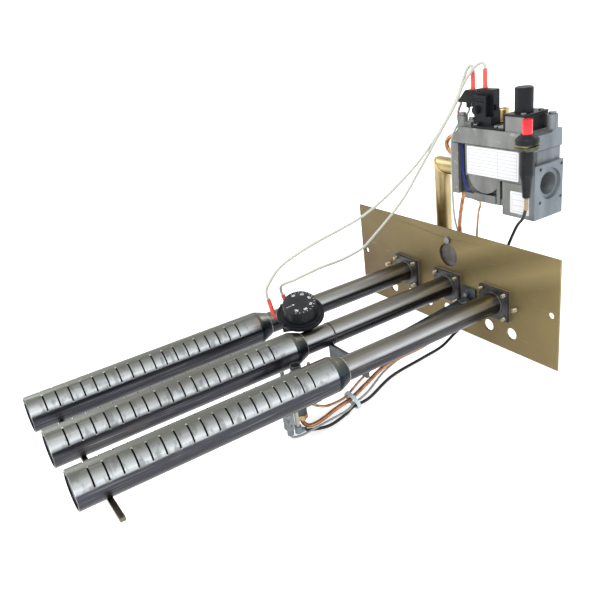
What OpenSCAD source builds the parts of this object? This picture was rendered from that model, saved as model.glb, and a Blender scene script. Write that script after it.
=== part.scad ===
// Atmospheric gas burner for a boiler: three slotted heads on a mounting plate with its gas train
// Millimetres, +Z up. X runs along the plate, Y from the head tips to the gas train.
// The origin is the middle of the two fixing holes, on the plate's front face.

/* [Plate] */
// Width of the mounting plate
plate_w = 286; // [280:1:300]
// Height of the mounting plate
plate_h = 111; // [108:1:120]
// Thickness of the mounting plate
plate_t = 2; // [1.5:0.5:3]
// Distance between the two fixing holes
fix_pitch = 269; // [262:1:272]
// Diameter of the fixing holes
fix_d = 6; // [5:0.5:8]
// Diameter of the inspection hole
peep_d = 25.4; // [20:0.2:26]
// Diameter of each air hole
air_d = 12; // [11:0.5:14]
// Distance between air holes
air_pitch = 29.3; // [28:0.1:30]

/* [Burner heads] */
// Distance between the burner tubes
tube_pitch = 64.5; // [63:0.5:66]
// Outer diameter of a burner head
head_d = 32; // [30:0.5:34]
// Wall thickness of a burner head
head_wall = 1.5; // [1.2:0.1:2]
// Distance from the plate to the head tips
head_reach = 428; // [424:1:460]
// Length of a burner head
head_len = 225; // [221:1:226]
// Slots in each row
slot_n = 18; // [10:1:18]
// Distance between slots
slot_pitch = 11; // [8:0.5:11]
// Width of a flame slot
slot_w = 1.2; // [0.8:0.1:1.6]
// Angle of each slot row from the top
slot_tilt = 43; // [35:1:55]
// Depth that the saw reaches under the head's surface
slot_depth = 2.4; // [2.2:0.1:2.8]

/* [Mixing tubes] */
// Outer diameter of a mixing tube
mix_d = 22; // [21:0.5:23]
// Wall thickness of a mixing tube
mix_wall = 1.5; // [1.2:0.1:2]
// Width of a tube flange
flange_w = 36; // [35:1:40]
// Height of a tube flange
flange_h = 32; // [31:1:36]
// Thickness of a tube flange
flange_t = 3.5; // [3:0.5:5]
// Thread diameter of the flange bolts
flange_bolt_d = 4; // [3:0.5:4]

/* [Gas train] */
// Outer diameter of the manifold
manifold_d = 26.9; // [25:0.1:28]
// Outer diameter of the riser pipe
riser_d = 21.3; // [20:0.1:22]
// Width of the gas valve over its two ports
valve_w = 105; // [104:1:107]
// Height of the gas port above the tube axes
port_z = 115.2; // [114:0.1:118]
// Bore diameter of the threaded gas port
port_d = 21; // [18:0.5:23]
// Diameter of the valve knob
knob_d = 16.7; // [15:0.1:17]
// Diameter of the igniter button
button_d = 9; // [8:0.1:10]

/* [Thermostat] */
// Diameter of the dial at its top
dial_d = 33; // [30:0.5:34]
// Diameter of the bezel
bezel_d = 45.4; // [44:0.2:45.6]
// Lean of the thermostat towards the middle tube
stat_tilt = 20; // [19:0.5:21]

/* [Pilot] */
// Diameter of the pilot gas pipe
gas_pipe_d = 4; // [3.5:0.1:4.2]
// Diameter of the thermocouple lead
lead_d = 2.4; // [2:0.1:2.6]
// Diameter of the ignition cable
cable_d = 3; // [2.5:0.1:3.2]
// Diameter of the braided thermostat wires
wire_d = 2; // [1.8:0.1:2.4]

/* [Hidden] */

$fn = 48;
far = 400;
over = 1;

// Shift from the middle tube's axis to the middle of the fixing holes
axes_x = 4.5;
axes_z = -6;
plate_mid = -axes_x;
fix_z = -axes_z;
plate_top = 62.5;
sides = [-1, 1];
tubes = [-1, 0, 1];

air_n = 7;
air_mid = plate_mid + 1;
air_z = -29;
peep_z = 33.5;
pivot_z = 50.1;
pivot_d = 4;

head_r = head_d / 2;
head_end = -(head_reach - head_len);
slot_first = 14;
saw_r = 20;
cap_t = 1.5;
cap_inset = 1.5;
mix_r = mix_d / 2;
reducer_len = 17;
neck_r = mix_r + 1.2;
mix_front = head_end + reducer_len - 4;
bead = 1.3;
seam_y = head_end + 45.8;

gasket_t = 1;
flange_dx = 29;
flange_dz = 25;
flange_front = -(gasket_t + flange_t);
flange_bolt_out = 4;
bolt_head_h = 2.8;
bolt_head_d = 8.1;

bar_w = 4.4;
bar_h = 3.5;
bar_y = 23.2 - head_reach;
bar_half = 97;
bar_bite = 0.6;
strap_t = 3;
strap_y = head_end + 43;
strap_top = -8;
strap_low = -21.8;
strap_in = 3.3;

shutter_t = 1.2;
shutter_gap = 0.4;
shutter_r = 15;
shutter_y = plate_t + shutter_gap;
run = 0.05;

support_x = 21.3;
support_w = 18;
support_t = 2.5;
support_top = 5.8;
support_bend = -8;
support_end_y = head_end - 34;
support_end_z = -28.8;
window_x = 5.5;
window_w = 11.2;
window_near = head_end + 1;
window_far = head_end - 31.5;
support_bolt_x = 28.6;
support_bolt_z = -2;

pilot_x = 32;
bracket_z = -38;
bracket_t = 2;
probe_y = head_end - 28;
burner_y = head_end - 14;
spark_y = head_end - 21.5;
spark_x = 35.5;
spark_d = 4;
thermo_x = 34;
thermo_y = head_end - 1.5;

// Nut of the thermocouple lead under the valve's foot
magnet_x = 15.5;
magnet_y = 32;
magnet_nut_h = 4;

tie_place = [38.8, -166, -54.3];
tie_lean = -68;
tie_d = 17.4;
tie_t = 1.2;
tie_w = 3.6;

man_y = 39.4;
bracket_gap = 0.45;
arm_t = 3;
arm_low = -14;
foot_in = 10;
man_half = tube_pitch + flange_dx / 2 + bolt_head_d / 2 - plate_mid + bracket_gap + foot_in;
bracket_screw_x = man_half - 4.5;
bracket_screw_d = 5;
plug_t = 3;
arm_past = 16;
manifold_wall = 2.6;
bracket_screw_z = -1.1;
riser_x = -41;
elbow_r = 13;
elbow_bend = 15;

valve_l = -11;
valve_r = valve_l + valve_w;
block_front = 18.5;
body_front = 20;
core_front = 26;
body_back = 57;
body_low = 95;
foot_z = 91;
body_top = 147;
lid_top = 163;
port_y = 39.4;
recess_d = 28.8;
recess_depth = 2.5;
port_depth = 15;
port_hole_d = 3.2;
port_hole_dy = 28.4;
port_hole_dz = 31;
port_hole_depth = 8;
tower_top = 177;
cover_t = 2;
knob_x = 66.8;
knob_y = 35;
knob_top = 201.3;
knob_low = 173;
knob_floor = 168;
spindle_d = 6;
spindle_low = 163.5;
spindle_floor = 158.5;
base_top = lid_top + 2;
coil_top = 197.5;
block_top = 195.5;
tab_y = 38;
tab_1_x = 2;
tab_2_x = 18;
sleeve_d = 4.2;
sleeve_len = 18;

igniter_x = 93.5;
igniter_y = 8;
igniter_d = 12.6;
collar_low = 158.1;
collar_top = 164.6;
tab_t = 1.5;
button_low = 155.5;
button_top = 179;
button_floor = 149.5;

stat_turn = 60;
bezel_t = 3;
stat_base = [-16.5, head_end + 26.7, 24];
function stat_point(p) = stat_base
  + p[0] * [cos(stat_turn), sin(stat_turn), 0]
  + p[1] * [-sin(stat_turn) * cos(stat_tilt), cos(stat_turn) * cos(stat_tilt), sin(stat_tilt)]
  + p[2] * [sin(stat_turn) * sin(stat_tilt), -cos(stat_turn) * sin(stat_tilt), cos(stat_tilt)];
sleeve_a = [stat_point([-25.8, 5.8, -4]), stat_point([-29, 14, 9.5])];
sleeve_b = [stat_point([-11.5, 20.5, -7]), stat_point([-15, 24.5, 3])];
stat_deep = 15;
dial_gap = 1;
dial_h = 11.3;
dial_skirt_d = 37.4;
shaft_d = 6;

// Routes of the leads and wires, chosen by hand, from the middle tube's axis at the plate's front face
gas_route = [[32, -217, -54], [32, -217, -56], [32.5, -215, -60], [34, -210, -63], [36, -199, -61],
  [38, -183, -55], [39, -166, -51], [38, -147, -44], [36, -123, -36], [34, -100, -35], [29, -60, -37],
  [24, -20, -31], [23.5, 2, -30], [19, 9, -23], [14.5, 15, -5], [9.5, 18, 16], [1, 20, 35], [-5, 23, 60],
  [-6, 28, 82], [-6, 30, 88], [-6, 30, 91], [-6, 30, body_low]];
loop_route = [[valve_l, 30, 151], [-18, 30, 151], [-25, 30, 147], [-28, 30, 141], [-25, 30, 135],
  [-18, 30, 131], [valve_l, 30, 131]];
thermo_route = [[thermo_x, thermo_y, -42], [thermo_x, -204, -43.5], [34.5, -200, -46], [36, -192, -49],
  [36, -179, -50], [35.5, -168, -48.5], [34, -150, -40], [31, -126, -33], [29, -101, -32],
  [27, -60, -31], [26.5, -20, -26], [27, 2, -26], [27, 10, -20], [25, 17, 0], [22, 21, 20], [18, 24, 50],
  [magnet_x, 29, 74], [magnet_x, magnet_y, 82], [magnet_x, magnet_y, 85],
  [magnet_x, magnet_y, foot_z - magnet_nut_h]];
sensor_route = [[32, -231, -64], [32, -231, -66], [33, -228, -68], [35, -221, -68], [37, -213, -66],
  [39.5, -197, -63], [42.5, -175, -59], [42, -165, -55.5], [41, -148, -51], [33, -120, -43],
  [29, -90, -38], [26.5, -70, -36], [24, -50, -33], [22, -20, -27], [23, 2, -25.5], [22, 12, -14],
  [19, 20, 6], [12, 22, 20], [0, 24, 34], [-12, 24, 60], [-15, 24, 84], [-15, 24, 105], [-15, 24, 128],
  [-15, 25, 148], [-13, 31, 161], [-8, 38, 170], [-5, 39.5, 175], [-5, 39.5, 178]];
cable_route = [[spark_x, -219, -62], [spark_x, -217, -62.5], [33.5, -212, -67.3], [38.5, -193, -69],
  [41, -175, -63.5], [41.5, -166, -59], [43.5, -148, -56], [40, -117, -47], [36, -75, -46],
  [32, -44, -46], [29, -22, -40], [28.5, 2, -31.5], [34, 11, -22], [44, 17, 8], [60, 18, 45],
  [77, 14, 76], [88, 10, 88], [92, 8.5, 97], [igniter_x, igniter_y, 103], [igniter_x, igniter_y, 106],
  [igniter_x, igniter_y, 109]];
wire_a_route = [sleeve_a[1], stat_point([-30, 16.5, 13.5]), [-42, -195, 48], [-40, -190, 56],
  [-36, -184, 65], [-31, -174, 73], [-27, -148, 82], [-34, -110, 85], [-37, -82, 89], [-41, -52, 97],
  [-41, -24, 111], [-32, -4, 131], [-18, 12, 159], [-9, 24, 184], [-6, 32, 203], [-4, 36, 214],
  [-1, 38, 218], [1.5, 38, 217], [tab_1_x, tab_y, block_top + sleeve_len]];
wire_b_route = [sleeve_b[1], stat_point([-16, 25.6, 6]), [-42, -180, 44], [-36, -179, 49],
  [-26, -172, 54], [-30, -140, 55], [-42, -106, 50], [-50, -76, 50], [-53, -60, 55], [-46, -22, 87],
  [-32, -4, 122], [-16, 10, 158], [-5, 20, 183], [0, 27, 202], [6, 34, 215], [12, 37.5, 220.5],
  [17, 38, 219.5], [tab_2_x, tab_y, coil_top + sleeve_len]];
coil_wire_route = [[-12, 36, 183.5], [-12, 36, 181], [-13, 34, 176], [-11, 31, 169], [-8, 30, 166],
  [-6.2, 29.4, 165.5]];
blue_wire_route = [[-1, 24, body_top], [-1, 24, 144], [0, 23.5, 135], [-0.5, 23.5, 122], [2, 23.5, 106],
  [6, 23.5, 98]];

// Smooth curve through hand-chosen points
function knot(p, i) = p[max(0, min(len(p) - 1, i))];
function blend(a, b, c, d, t) =
  0.5 * (2 * b + (c - a) * t + (2 * a - 5 * b + 4 * c - d) * t * t + (3 * b - a - 3 * c + d) * t * t * t);
function smooth(p, n) = concat(
  [for (i = [0:len(p) - 2], s = [0:n - 1])
    blend(knot(p, i - 1), knot(p, i), knot(p, i + 1), knot(p, i + 2), s / n)],
  [p[len(p) - 1]]);
function unit(v) = v / norm(v);
function run_of(q, i) = unit(q[min(len(q) - 1, i + 1)] - q[max(0, i - 1)]);
function ring(c, t, ref, r, n) =
  let (u = unit(cross(t, ref)), v = cross(t, u))
  [for (k = [0:n - 1]) c + r * (cos(360 * k / n) * u + sin(360 * k / n) * v)];

module tube_along(route, d, steps, ref = [0.8, -0.55, 0.2], n = 8) {
  q = smooth(route, steps);
  m = len(q);
  pts = [for (i = [0:m - 1]) each ring(q[i], run_of(q, i), ref, d / 2, n)];
  walls = [for (i = [0:m - 2], k = [0:n - 1])
    [i * n + k, i * n + (k + 1) % n, (i + 1) * n + (k + 1) % n, (i + 1) * n + k]];
  ends = [[for (k = [0:n - 1]) n - 1 - k], [for (k = [0:n - 1]) (m - 1) * n + k]];
  polyhedron(points = pts, faces = concat(walls, ends), convexity = 6);
}

module at_axes() translate([axes_x, 0, axes_z]) children();

module at_thermostat() at_axes() translate(stat_base) rotate([stat_tilt, 0, stat_turn]) children();

module y_bar(d, y0, y1, x = 0, z = 0) translate([x, y0, z]) rotate([-90, 0, 0]) cylinder(d = d, h = y1 - y0);

module box(a, b) translate(a) cube(b - a);

module around_y(x, y, z = 0) translate([x, y, z]) rotate([-90, 0, 0]) rotate_extrude() children();

// Plate
module flange_spots(x) {
  for (sx = sides, sz = sides) translate([x + sx * flange_dx / 2, 0, sz * flange_dz / 2]) children();
}

module mounting_plate() color("#7d7350") at_axes() difference() {
  box([plate_mid - plate_w / 2, 0, plate_top - plate_h], [plate_mid + plate_w / 2, plate_t, plate_top]);
  for (k = tubes) {
    y_bar(mix_d - 2 * mix_wall, -over, plate_t + over, k * tube_pitch);
    flange_spots(k * tube_pitch) y_bar(flange_bolt_d, -over, plate_t + over);
  }
  for (s = sides) {
    y_bar(fix_d, -over, plate_t + over, plate_mid + s * fix_pitch / 2, fix_z);
    y_bar(bracket_screw_d, -over, plate_t + over, plate_mid + s * bracket_screw_x, bracket_screw_z);
  }
  for (i = [0:air_n - 1])
    y_bar(air_d, -over, plate_t + over, air_mid + (i - (air_n - 1) / 2) * air_pitch, air_z);
  y_bar(peep_d, -over, plate_t + over, 0, peep_z);
  y_bar(pivot_d, -over, plate_t + over, 0, pivot_z);
  y_bar(4, -over, plate_t + over, support_bolt_x, support_bolt_z);
}

// Burner heads
module head(x) at_axes() difference() {
  y_bar(head_d, -head_reach, head_end, x);
  y_bar(head_d - 2 * head_wall, -head_reach - over, head_end + over, x);
  for (i = [0:slot_n - 1], s = sides)
    translate([x, -head_reach + slot_first + i * slot_pitch - slot_w / 2, 0])
      rotate([0, s * slot_tilt, 0])
        translate([0, 0, head_r - slot_depth + saw_r])
          rotate([-90, 0, 0]) cylinder(r = saw_r, h = slot_w);
}

module burner_head_left() color("#8f9090") head(-tube_pitch);

module burner_head_middle() color("#8f9090") head(0);

module burner_head_right() color("#8f9090") head(tube_pitch);

module head_end_caps() color("#4c4845") at_axes()
  for (k = tubes)
    y_bar(head_d - 2 * head_wall, cap_inset - head_reach, cap_inset + cap_t - head_reach, k * tube_pitch);

module tube_reducers() color("#3f4042") at_axes()
  for (k = tubes) around_y(k * tube_pitch, head_end) polygon([
    [head_r - head_wall, 0], [head_r, 0], [head_r - 0.2, 5], [neck_r + 1.6, 12], [neck_r, reducer_len],
    [mix_r, reducer_len], [mix_r, reducer_len - 4], [mix_r, 11], [head_r - head_wall - 0.2, 4.5]]);

module mix_tube(x) at_axes() difference() {
  y_bar(mix_d, mix_front, -gasket_t, x);
  y_bar(mix_d - 2 * mix_wall, mix_front - over, over, x);
}

module mixing_tube_left() color("#a2a3a3") mix_tube(-tube_pitch);

module mixing_tube_middle() color("#a2a3a3") mix_tube(0);

module mixing_tube_right() color("#a2a3a3") mix_tube(tube_pitch);

// A fillet of weld that lies on a mixing tube against a face
module fillet(x, y, s) around_y(x, y) intersection() {
  translate([mix_r, 0]) circle(r = bead, $fn = 24);
  translate([mix_r, s > 0 ? 0 : -bead]) square(bead);
}

module weld_beads() color("#55524d") at_axes() {
  for (k = tubes) {
    fillet(k * tube_pitch, head_end + reducer_len, 1);
    fillet(k * tube_pitch, flange_front, -1);
  }
  around_y(0, seam_y) intersection() {
    translate([mix_r - 0.6, 0]) circle(r = 1.2, $fn = 24);
    translate([mix_r, -bead]) square(2 * bead);
  }
}

module flange_blank(y0, y1, hole) for (k = tubes) difference() {
  box([k * tube_pitch - flange_w / 2, y0, -flange_h / 2], [k * tube_pitch + flange_w / 2, y1, flange_h / 2]);
  y_bar(hole, y0 - over, y1 + over, k * tube_pitch);
  flange_spots(k * tube_pitch) y_bar(flange_bolt_d, y0 - over, y1 + over);
}

module tube_flanges() color("#38393a") at_axes() flange_blank(flange_front, -gasket_t, mix_d);

module flange_gaskets() color("#6b6254") at_axes() flange_blank(-gasket_t, 0, mix_d - 2 * mix_wall);

module flange_bolts() color("#b7a25c") at_axes() for (k = tubes) flange_spots(k * tube_pitch) {
  y_bar(flange_bolt_d, flange_front - flange_bolt_out, plate_t);
  translate([0, plate_t, 0]) rotate([-90, 0, 0]) cylinder(d = bolt_head_d, h = bolt_head_h, $fn = 6);
}

module head_support_bar() color("#4a443f") at_axes() difference() {
  translate([-bar_half, bar_y - bar_w / 2, bar_bite - head_r - bar_h]) cube([2 * bar_half, bar_w, bar_h]);
  for (k = tubes) y_bar(head_d, bar_y - bar_w, bar_y + bar_w, k * tube_pitch);
}

module cross_strap() color("#2f3338") at_axes() difference() {
  translate([strap_in, strap_y - strap_t / 2, strap_low])
    cube([tube_pitch - 2 * strap_in, strap_t, strap_top - strap_low]);
  for (k = [0, 1]) y_bar(mix_d, strap_y - strap_t, strap_y + strap_t, k * tube_pitch);
}

// Shutter that hangs behind the inspection hole
module inspection_shutter() color("#77787a") at_axes() difference() {
  union() {
    y_bar(2 * shutter_r, shutter_y, shutter_y + shutter_t, 0, peep_z);
    y_bar(10, shutter_y, shutter_y + shutter_t, 0, pivot_z);
    box([-5, shutter_y, peep_z], [5, shutter_y + shutter_t, pivot_z]);
  }
  y_bar(pivot_d + 2 * run, shutter_y - over, shutter_y + shutter_t + over, 0, pivot_z);
}

module shutter_pivot() color("#b9bab4") at_axes() {
  y_bar(pivot_d, 0, shutter_y + 2 * shutter_t + 2, 0, pivot_z);
  y_bar(7, -1.6, 0, 0, pivot_z);
  translate([0, shutter_y + shutter_t + shutter_gap, pivot_z]) rotate([-90, 0, 0]) difference() {
    cylinder(d = 8, h = 2.4, $fn = 6);
    translate([0, 0, -over]) cylinder(d = pivot_d, h = 5);
  }
}

// Pilot group
module pilot_support() color("#36393b") at_axes() difference() {
  translate([support_x, 0, 0]) rotate([90, 0, 90]) linear_extrude(support_w) polygon([
    [0, support_top], [-support_t, support_top], [-support_t, support_bend], [support_end_y, support_end_z],
    [support_end_y, support_end_z - support_t], [0, support_bend - support_t]]);
  y_bar(4, -support_t - over, over, support_bolt_x, support_bolt_z);
  translate([support_x + 9.5, -9, support_bend - 12]) cylinder(d = 5, h = 14);
  translate([support_x + window_x, window_far, support_end_z - 10])
    cube([window_w, window_near - window_far, 10 - support_end_z]);
}

module pilot_support_bolts() color("#9fb0b8") at_axes() {
  y_bar(4, -support_t - 3, plate_t, support_bolt_x, support_bolt_z);
  translate([support_bolt_x, plate_t, support_bolt_z]) rotate([-90, 0, 0]) cylinder(d = 8, h = 2.8, $fn = 6);
  translate([support_x + 9.5, -9, support_bend - 4]) cylinder(d = 5, h = 4);
  translate([support_x + 9.5, -9, support_bend]) cylinder(d = 11, h = 2.5);
}

module pilot_bracket() color("#44474a") at_axes() difference() {
  union() {
    box([pilot_x - 9, probe_y - 7, bracket_z], [pilot_x + 9, burner_y + 9, bracket_z + bracket_t]);
    box([pilot_x - 3, burner_y, bracket_z], [pilot_x + 9, thermo_y + 5, bracket_z + bracket_t]);
    box([pilot_x - 9, support_end_y - bracket_t, bracket_z], [pilot_x + 7, support_end_y, support_end_z]);
  }
  translate([pilot_x, probe_y, bracket_z - over]) cylinder(d = 5, h = 5);
  translate([pilot_x, burner_y, bracket_z - over]) cylinder(d = 6, h = 5);
  translate([spark_x, spark_y, bracket_z - over]) cylinder(d = spark_d, h = 5);
  translate([thermo_x, thermo_y, bracket_z - over]) cylinder(d = 4, h = 5);
}

module hex(x, y, z0, z1, d) translate([x, y, z0]) cylinder(d = d, h = z1 - z0, $fn = 6);

module rod(x, y, z0, z1, d) translate([x, y, z0]) cylinder(d = d, h = z1 - z0);

module pilot_burner() color("#8c8f90") at_axes() {
  hex(pilot_x, burner_y, -48, bracket_z, 10.4);
  rod(pilot_x, burner_y, bracket_z, -12, 6);
  difference() {
    rod(pilot_x, burner_y, -12, 3, 10);
    rod(pilot_x, burner_y, -8, 3 + over, 8);
    box([pilot_x, burner_y - 3, -5], [pilot_x + far, burner_y + 3, 0]);
  }
}

module pilot_gas_nut() color("#b08a45") at_axes() {
  hex(pilot_x, burner_y, -52, -48, 11);
  rod(pilot_x, burner_y, -54, -52, 7);
  rod(magnet_x, magnet_y, foot_z - magnet_nut_h, foot_z, 7);
}

module flame_sensor() color("#8c9aa0") at_axes() {
  translate([pilot_x, probe_y, -56]) rotate(30) cylinder(d = 11.5, h = 18, $fn = 6);
  rod(pilot_x, probe_y, bracket_z, -10, 5);
  rod(pilot_x, probe_y, -10, 2, 3.6);
  rod(pilot_x, probe_y, -58, -56, 8);
  rod(pilot_x, probe_y, -64, -58, 6);
}

module ignition_electrode() color("#d9d5c8") at_axes() {
  rod(spark_x, spark_y, -56, -14, spark_d);
  rod(spark_x, spark_y, -14, 2, 1.6);
}

module thermocouple() color("#b08a55") at_axes() {
  rod(thermo_x, thermo_y, -42, bracket_z - 2, 6);
  hex(thermo_x, thermo_y, bracket_z - 2, bracket_z, 8);
  rod(thermo_x, thermo_y, bracket_z, -10, 4);
  rod(thermo_x, thermo_y, -10, 1, 3);
}

module electrode_boot() color("#6f7f86") at_axes() {
  rod(spark_x, spark_y, -63, -56, 6.4);
  translate([spark_x, spark_y, -62]) rotate([-90, 0, 0]) cylinder(d = 5, h = 5.5);
}

module pilot_gas_pipe() color("#a5653f") at_axes() tube_along(gas_route, gas_pipe_d, 3);

module thermocouple_lead() color("#9c6a45") at_axes() tube_along(thermo_route, lead_d, 4);

module sensor_lead() color("#c9c8c0") at_axes() tube_along(sensor_route, lead_d * 0.9, 3);

module ignition_cable() color("#2b2a28") at_axes() tube_along(cable_route, cable_d, 3);

module cable_tie() color("#b9c6cc") at_axes() translate(tie_place) rotate([tie_lean, 0, 0]) difference() {
  cylinder(d = tie_d + 2 * tie_t, h = tie_w);
  translate([0, 0, -over]) cylinder(d = tie_d, h = tie_w + 2 * over);
}

// Gas train
module gas_manifold() color("#8d7c4a") at_axes() difference() {
  translate([plate_mid - man_half, man_y, 0]) rotate([0, 90, 0]) cylinder(d = manifold_d, h = 2 * man_half);
  translate([plate_mid - man_half + plug_t, man_y, 0]) rotate([0, 90, 0])
    cylinder(d = manifold_d - 2 * manifold_wall, h = 2 * (man_half - plug_t));
}

module gas_injectors() color("#c09a4e") at_axes() for (k = tubes) difference() {
  union() {
    translate([k * tube_pitch, 13, 0]) rotate([-90, 0, 0]) cylinder(d = 13.8, h = 18, $fn = 6);
    translate([k * tube_pitch, 6, 0]) rotate([-90, 0, 0]) cylinder(d1 = 6, d2 = 10, h = 7);
  }
  y_bar(1.4, 0, 40, k * tube_pitch);
  translate([-far, man_y, 0]) rotate([0, 90, 0]) cylinder(d = manifold_d, h = 2 * far);
}

module both_ends() at_axes() translate([plate_mid, 0, 0])
  for (s = [0, 1]) mirror([s, 0, 0]) children();

module manifold_brackets() color("#7d7350") both_ends()
  difference() {
    union() {
      box([man_half, plate_t, arm_low], [man_half + arm_t, man_y + arm_past, -arm_low]);
      box([man_half - foot_in, plate_t, arm_low], [man_half + arm_t, plate_t + arm_t, -arm_low]);
    }
    y_bar(bracket_screw_d, 0, 20, bracket_screw_x, bracket_screw_z);
  }

module bracket_screws() color("#c3ab5f") both_ends() translate([bracket_screw_x, 0, bracket_screw_z]) {
  y_bar(bracket_screw_d, -5, plate_t + arm_t);
  translate([0, plate_t + arm_t, 0]) rotate([-90, 30, 0]) cylinder(d = 8, h = 3.2, $fn = 6);
}

module riser_pipe() color("#b09a5c") at_axes() difference() {
  rod(riser_x, man_y, 0, port_z - 2 - elbow_bend - 6, riser_d);
  rod(riser_x, man_y, -over, far, riser_d - 5.2);
  translate([-far, man_y, 0]) rotate([0, 90, 0]) cylinder(d = manifold_d, h = 2 * far);
}

module pipe_elbow() color("#b59c55") at_axes() translate([riser_x, man_y, port_z - 2]) difference() {
  union() {
    rod(0, 0, -elbow_bend - 12, -elbow_bend, 2 * elbow_r);
    rod(0, 0, -elbow_bend - 12, -elbow_bend - 7, 2 * elbow_r + 2);
    translate([elbow_bend, 0, -elbow_bend]) rotate([-90, 180, 0]) rotate_extrude(angle = 90)
      translate([elbow_bend, 0]) circle(r = elbow_r);
    translate([elbow_bend, 0, 0]) rotate([0, 90, 0])
      cylinder(r = elbow_r, h = valve_l - riser_x - elbow_bend);
  }
  rod(0, 0, -elbow_bend - 13, -elbow_bend - 6, riser_d);
}

// Valve
module port_bore(d, depth, y = 0, z = 0)
  translate([valve_r - depth, port_y + y, port_z + z]) rotate([0, 90, 0]) cylinder(d = d, h = far);

module valve_body() color("#8b8f92") at_axes() difference() {
  union() {
    box([-2, core_front, body_low], [valve_r - 4, body_back, body_top]);
    box([valve_l, body_front, body_low], [-2, body_back, body_top]);
    box([8, body_front, 116], [79, core_front, body_top]);
    y_bar(42, body_front + 1, core_front, 31, 121);
    box([4, body_front + 2, foot_z], [59, body_back - 6, body_low + 2]);
    box([18, body_front + 0.5, foot_z], [46, core_front, 99]);
    box([47, body_front + 1, foot_z], [51, core_front, 118]);
    box([59, block_front, 84], [valve_r, body_back, 116]);
    box([79, block_front, 84], [valve_r, body_back, 134.8]);
    translate([59, block_front + 6, 84]) cylinder(r = 6, h = 32);
    box([53, block_front + 6, 84], [60, body_back, 116]);
  }
  port_bore(port_d, port_depth + recess_depth);
  port_bore(recess_d, recess_depth);
  for (sy = sides, sz = sides)
    port_bore(port_hole_d, port_hole_depth, 1 + sy * port_hole_dy / 2, sz * port_hole_dz / 2);
  for (i = [0:2]) box([22 + i * 11, core_front + 4, 80], [29 + i * 11, body_back - 10, foot_z + 3]);
}

module valve_lid() color("#8f9396") at_axes() difference() {
  union() {
    translate([0, body_back, 0]) rotate([90, 0, 0]) linear_extrude(body_back - body_front + 0.5) polygon([
      [-8, body_top], [valve_r - 2, body_top], [valve_r - 2, lid_top], [0, lid_top], [-8, body_top + 6]]);
    box([57, 21, lid_top], [79, 52, tower_top]);
    rod(87, 49, lid_top - 2, 176, 10);
    rod(-1.5, 27, body_top + 4, 173, 10.4);
    rod(8, 30, lid_top, 169, 7);
    box([-1.5, 25, lid_top - 1], [11, 29, 167]);
    box([48, 22, lid_top], [57, 30, 167]);
  }
  box([80, 0, 161], [far, 43, lid_top + over]);
  rod(knob_x, knob_y, knob_floor, far, knob_d + 2 * run + 0.06);
  rod(knob_x, knob_y, spindle_floor, far, spindle_d + 2 * run);
}

module valve_cover() color("#222426") at_axes() difference() {
  union() {
    box([56.2, 20.2, tower_top], [79.8, 52.8, tower_top + cover_t]);
    box([15, 21, lid_top], [47.5, 56, base_top]);
  }
  rod(knob_x, knob_y, tower_top - over, far, knob_d + 2 * run + 0.06);
  rod(8, 30, lid_top - over, far, 8);
}

module valve_screws() color("#a9b0b4") at_axes() {
  rod(-1.5, 27, 173, 175.4, 7);
  rod(8, 30, 169, 171, 6);
  rod(87, 49, 176, 178, 7);
  for (p = [[60, 47], [76, 47], [76, 23.5]])
    rod(p[0], p[1], tower_top + cover_t, tower_top + cover_t + 1.6, 4.5);
  for (p = [[18.5, 24.5], [44, 24.5]]) rod(p[0], p[1], base_top, base_top + 1.8, 5);
}

module regulator_cap() color("#b59b59") at_axes() {
  rod(29, 50, base_top, 176.4, 12.8);
  rod(29, 50, 176.4, 177.4, 11.4);
}

module valve_coil() color("#1f2123") at_axes() {
  box([12, 33, base_top], [33, 41, coil_top]);
  box([13, 28, base_top], [34, 33, 173]);
  difference() {
    box([13.5, 27, 173], [28, 33, 190]);
    box([12, 26, 186], [30, 29, 191]);
  }
  y_bar(7.5, 23.5, 27, 17.5, 179);
  y_bar(5, 22.5, 23.5, 17.5, 179);
  rod(34.2, 36, 178, 183, 2.4);
}

module terminal_block() color("#1b1c1e") at_axes() {
  translate([0, 44, 0]) rotate([90, 0, 0]) linear_extrude(10)
    polygon([[-16, 183.5], [-5, block_top], [12, block_top], [12, 183.5]]);
  box([-7, 37.5, 178], [-3, 41.5, 183.5]);
  box([1, 37, 179], [4, 41, 183.5]);
}

module sleeve(x, y, z) {
  translate([x, y, z]) cylinder(d1 = sleeve_d + 1.6, d2 = sleeve_d, h = 4);
  rod(x, y, z + 4, z + sleeve_len, sleeve_d);
}

module terminal_sleeves() color("#e2453f") at_axes() {
  sleeve(tab_1_x, tab_y, block_top);
  sleeve(tab_2_x, tab_y, coil_top);
}

module pilot_feed_loop() color("#a8733f") at_axes() tube_along(loop_route, 4.6, 4, [0, 1, 0], 10);

module valve_wires() color("#7a2030") at_axes() {
  tube_along(coil_wire_route, 1.4, 3);
  translate([-0.6, -1.5, 0]) tube_along(coil_wire_route, 1.4, 3);
  tube_along(blue_wire_route, 1.8, 4, [1, 0, 0]);
}

module valve_labels() color("#e9e9e6") at_axes() {
  box([10.4, body_front - 0.3, 117.8], [74.3, body_front, 145.5]);
  box([66, block_front - 0.3, 88], [88, block_front, 109]);
}

module valve_spindle() color("#a9acae") at_axes() rod(knob_x, knob_y, spindle_low, 196, spindle_d);

module valve_knob() color("#202225") at_axes() difference() {
  union() {
    rod(knob_x, knob_y, knob_low, knob_top - 1, knob_d);
    rod(knob_x, knob_y, knob_top - 1, knob_top, knob_d - 1.6);
  }
  rod(knob_x, knob_y, knob_low - over, 196, spindle_d + 2 * run);
  box([knob_x - 0.5, knob_y - knob_d / 2, knob_top - 0.5], [knob_x + 0.5, knob_y - 3, knob_top + over]);
}

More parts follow.
